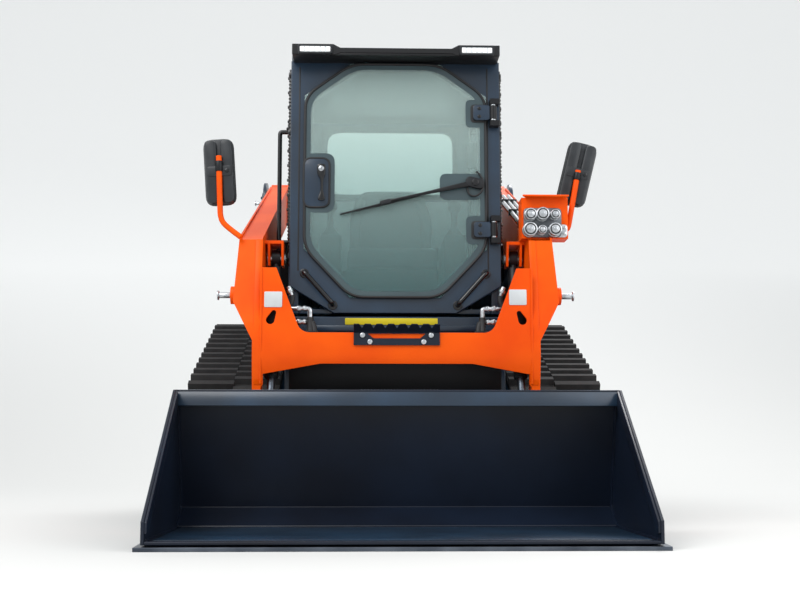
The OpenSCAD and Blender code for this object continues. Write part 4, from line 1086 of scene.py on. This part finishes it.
pair(boot, "lever_boots", hose_rubber)
FLOOR_TOP = mm_box("cab_floor")[1][2]
mat = [block((-300, -560, FLOOR_TOP - 1), (300, -90, FLOOR_TOP + 6), 2)]
mat += [block((-280, y, FLOOR_TOP + 4), (280, y + 10, FLOOR_TOP + 10), 2) for y in range(-540, -110, 34)]
settle(mat, "floor_mat", hose_rubber)
display = [block((318, -560, 1560), (400, -540, 1680), 8), block((346, -548, 1480), (366, -530, 1570), 5)]
settle(display, "display", charcoal_plastic)
print("levers at", round(lever_x))

# %% [markdown]
# ## Running gear
# Bolt circles hold the sprocket to its motor, and pressed caps close the bearings of the idlers and rollers.
# They are small turned and hexagonal pieces, so each is a disc with a chamfer, repeated round its circle.

# %% Hubs, caps and bolts
def bolt_circle(x, side, middle, radius, count, size):
    return [side_bolt(side, x, (middle[0] + a, middle[1] + b), size, size * 0.7) for a, b in circle(radius, count)]


SPROCKET = (410, 700)
IDLERS = ((-420, 362), (920, 275))
ROLLER_Z = 116.4
ROLLER_YS = range(-195, 536, 146)


def running_gear(side):
    parts = bolt_circle(760, side, SPROCKET, 64, 8, 9) + bolt_circle(710, side, SPROCKET, 140, 10, 10)
    parts.append(side_disc(side, 758, 768, SPROCKET, 40, 4))
    wheel_face = mm_box("front_idlers")[1][0]
    for axle in IDLERS:
        parts.append(side_disc(side, wheel_face - 2, wheel_face + 10, axle, 56, 5))
        parts += bolt_circle(wheel_face + 9, side, axle, 38, 6, 6)
    roller_face = mm_box("track_rollers")[1][0]
    for y in ROLLER_YS:
        parts.append(side_disc(side, roller_face - 2, roller_face + 5, (y, ROLLER_Z), 26, 3))
    return join(parts)


pair(running_gear, "running_gear_caps", slate_paint)

# %% [markdown]
# ## Rear
# Slanted slats stand behind the door's slots, so that air passes and spray does not. A paddle latch holds the door.
# Each lamp has a black rim, and a bent tube on the hood is its pull.
# Slats could be a texture, but they are seen through the slots, so each is a thin tilted plate.

# %% Slats, latch and rims
DOOR_BACK = mm_box("engine_door")[1][1]
slats = [plate([(1656, z), (1660, z), (1684, z + 38), (1680, z + 38)], "x", -334, 334, 0.5)
         for z in range(752, 1229, 68)]
settle(slats, "door_slats", black_paint, "rear_door")
LATCH_X = 392
latch = [plate(soft_box((LATCH_X - half, low), (LATCH_X + half, high), corner), "y",
               DOOR_BACK + near, DOOR_BACK + far, edge)
         for half, low, high, corner, near, far, edge in (
             (34, 948, 1052, 12, -1, 4, 1.5), (22, 962, 1020, 8, 3, 11, 3))]
settle(latch, "door_latch", black_paint, "rear_door")
lamp_low, lamp_high = mm_box("tail_lamps")


def lamp_rim(side):
    outer = soft_box((lamp_low[1] - 6, lamp_low[2] - 6), (lamp_high[1] + 6, lamp_high[2] + 6), 14)
    inner = soft_box((lamp_low[1] + 5, lamp_low[2] + 5), (lamp_high[1] - 5, lamp_high[2] - 5), 10)
    return ring(outer, inner, "x", *reach(side, lamp_high[0] - 8, lamp_high[0] + 3), 1.5)


pair(lamp_rim, "tail_lamp_rims", charcoal_plastic)
PULL_LEFT = [(-90, 1560, 1425), (-90, 1564, 1462), (-60, 1566, 1470)]
pull = tube(PULL_LEFT + on_side(-1, reversed(PULL_LEFT)), 9)
settle(pull, "hood_pull", black_gloss, "hood")

# %% [markdown]
# ## Floor, light and camera
# A pale floor bends up into a pale wall, and three large soft lamps light the machine under an even sky.
# A plain box of light could do, but soft lamps from three sides show the plates' rounded edges.
# The camera stands low in front, a little to one side, where the photograph was taken.

# %% Floor
# The floor runs back and bends up into a wall, as a paper roll does in a studio, so no horizon shows.
FLOOR_WIDE, FLOOR_FRONT, BEND_START, BEND_R, WALL_TOP = 70, -16, 3, 16, 30
profile = [(FLOOR_FRONT, 0)]
turns = [math.pi / 2 * n / 24 for n in range(25)]
profile += [(BEND_START + BEND_R * math.sin(a), BEND_R - BEND_R * math.cos(a)) for a in turns]
profile.append((BEND_START + BEND_R, WALL_TOP))
deselect()
bpy.ops.mesh.primitive_grid_add(x_subdivisions=1, y_subdivisions=len(profile) - 1, size=1)
floor = bpy.context.object
floor.name = "floor"
for corner in floor.data.vertices:
    y, z = profile[round((corner.co.y + 0.5) * (len(profile) - 1))]
    corner.co = (corner.co.x * FLOOR_WIDE, y, z)
bpy.ops.object.shade_smooth()
# The backdrop is painted darker on the floor and paler up the wall: painted light that evens out how the lamps light
# it.
floor_finish, tree, shader, place = start_finish("pale floor", "none", {"Roughness": 0.9})
tree.links.new(by_height(tree, place, "#CDCDCB", "#FCFCFA", 0.0, 3.0), shader.inputs["Base Color"])
floor.data.materials.append(floor_finish)
print("floor:", len(profile), "rows")

# %% Light
world = bpy.data.worlds.new("soft studio")
bpy.context.scene.world = world
world.use_nodes = True
sky = world.node_tree.nodes["Background"]
sky.inputs["Color"].default_value = linear("#EEF1F4")
sky.inputs["Strength"].default_value = 0.95


def lamp(name, place, aim, size, watts):
    deselect()
    bpy.ops.object.light_add(type="AREA", location=place)
    light = bpy.context.object
    light.name = name
    light.data.size = size
    light.data.energy = watts
    light.rotation_euler = (Vector(aim) - Vector(place)).to_track_quat("-Z", "Y").to_euler()


lamp("key", (-3.5, -4.5, 6.0), (0, 0, 1.0), 5.0, 420)
lamp("fill", (4.5, -4.0, 3.0), (0, -0.5, 1.0), 4.0, 110)
lamp("rear", (2.5, 4.5, 8.0), (0, 0.5, 1.0), 4.0, 420)
print("lamps:", len(bpy.data.lights))

# %% Camera
CAMERA_PLACE = (-0.135, -5.858, 0.345)
CAMERA_UP_DEG = 6.76
CAMERA_TURN_DEG = 1.70
FOCAL_PX = 1226.3
PHOTO_W = 800
bpy.ops.object.camera_add(
    location=CAMERA_PLACE, rotation=(math.radians(90 + CAMERA_UP_DEG), 0, math.radians(-CAMERA_TURN_DEG)))
camera = bpy.context.object
camera.data.sensor_width = 36
camera.data.lens = FOCAL_PX / PHOTO_W * camera.data.sensor_width
bpy.context.scene.camera = camera
bpy.context.scene.view_settings.view_transform = "Standard"
print("lens:", round(camera.data.lens, 1), "mm")
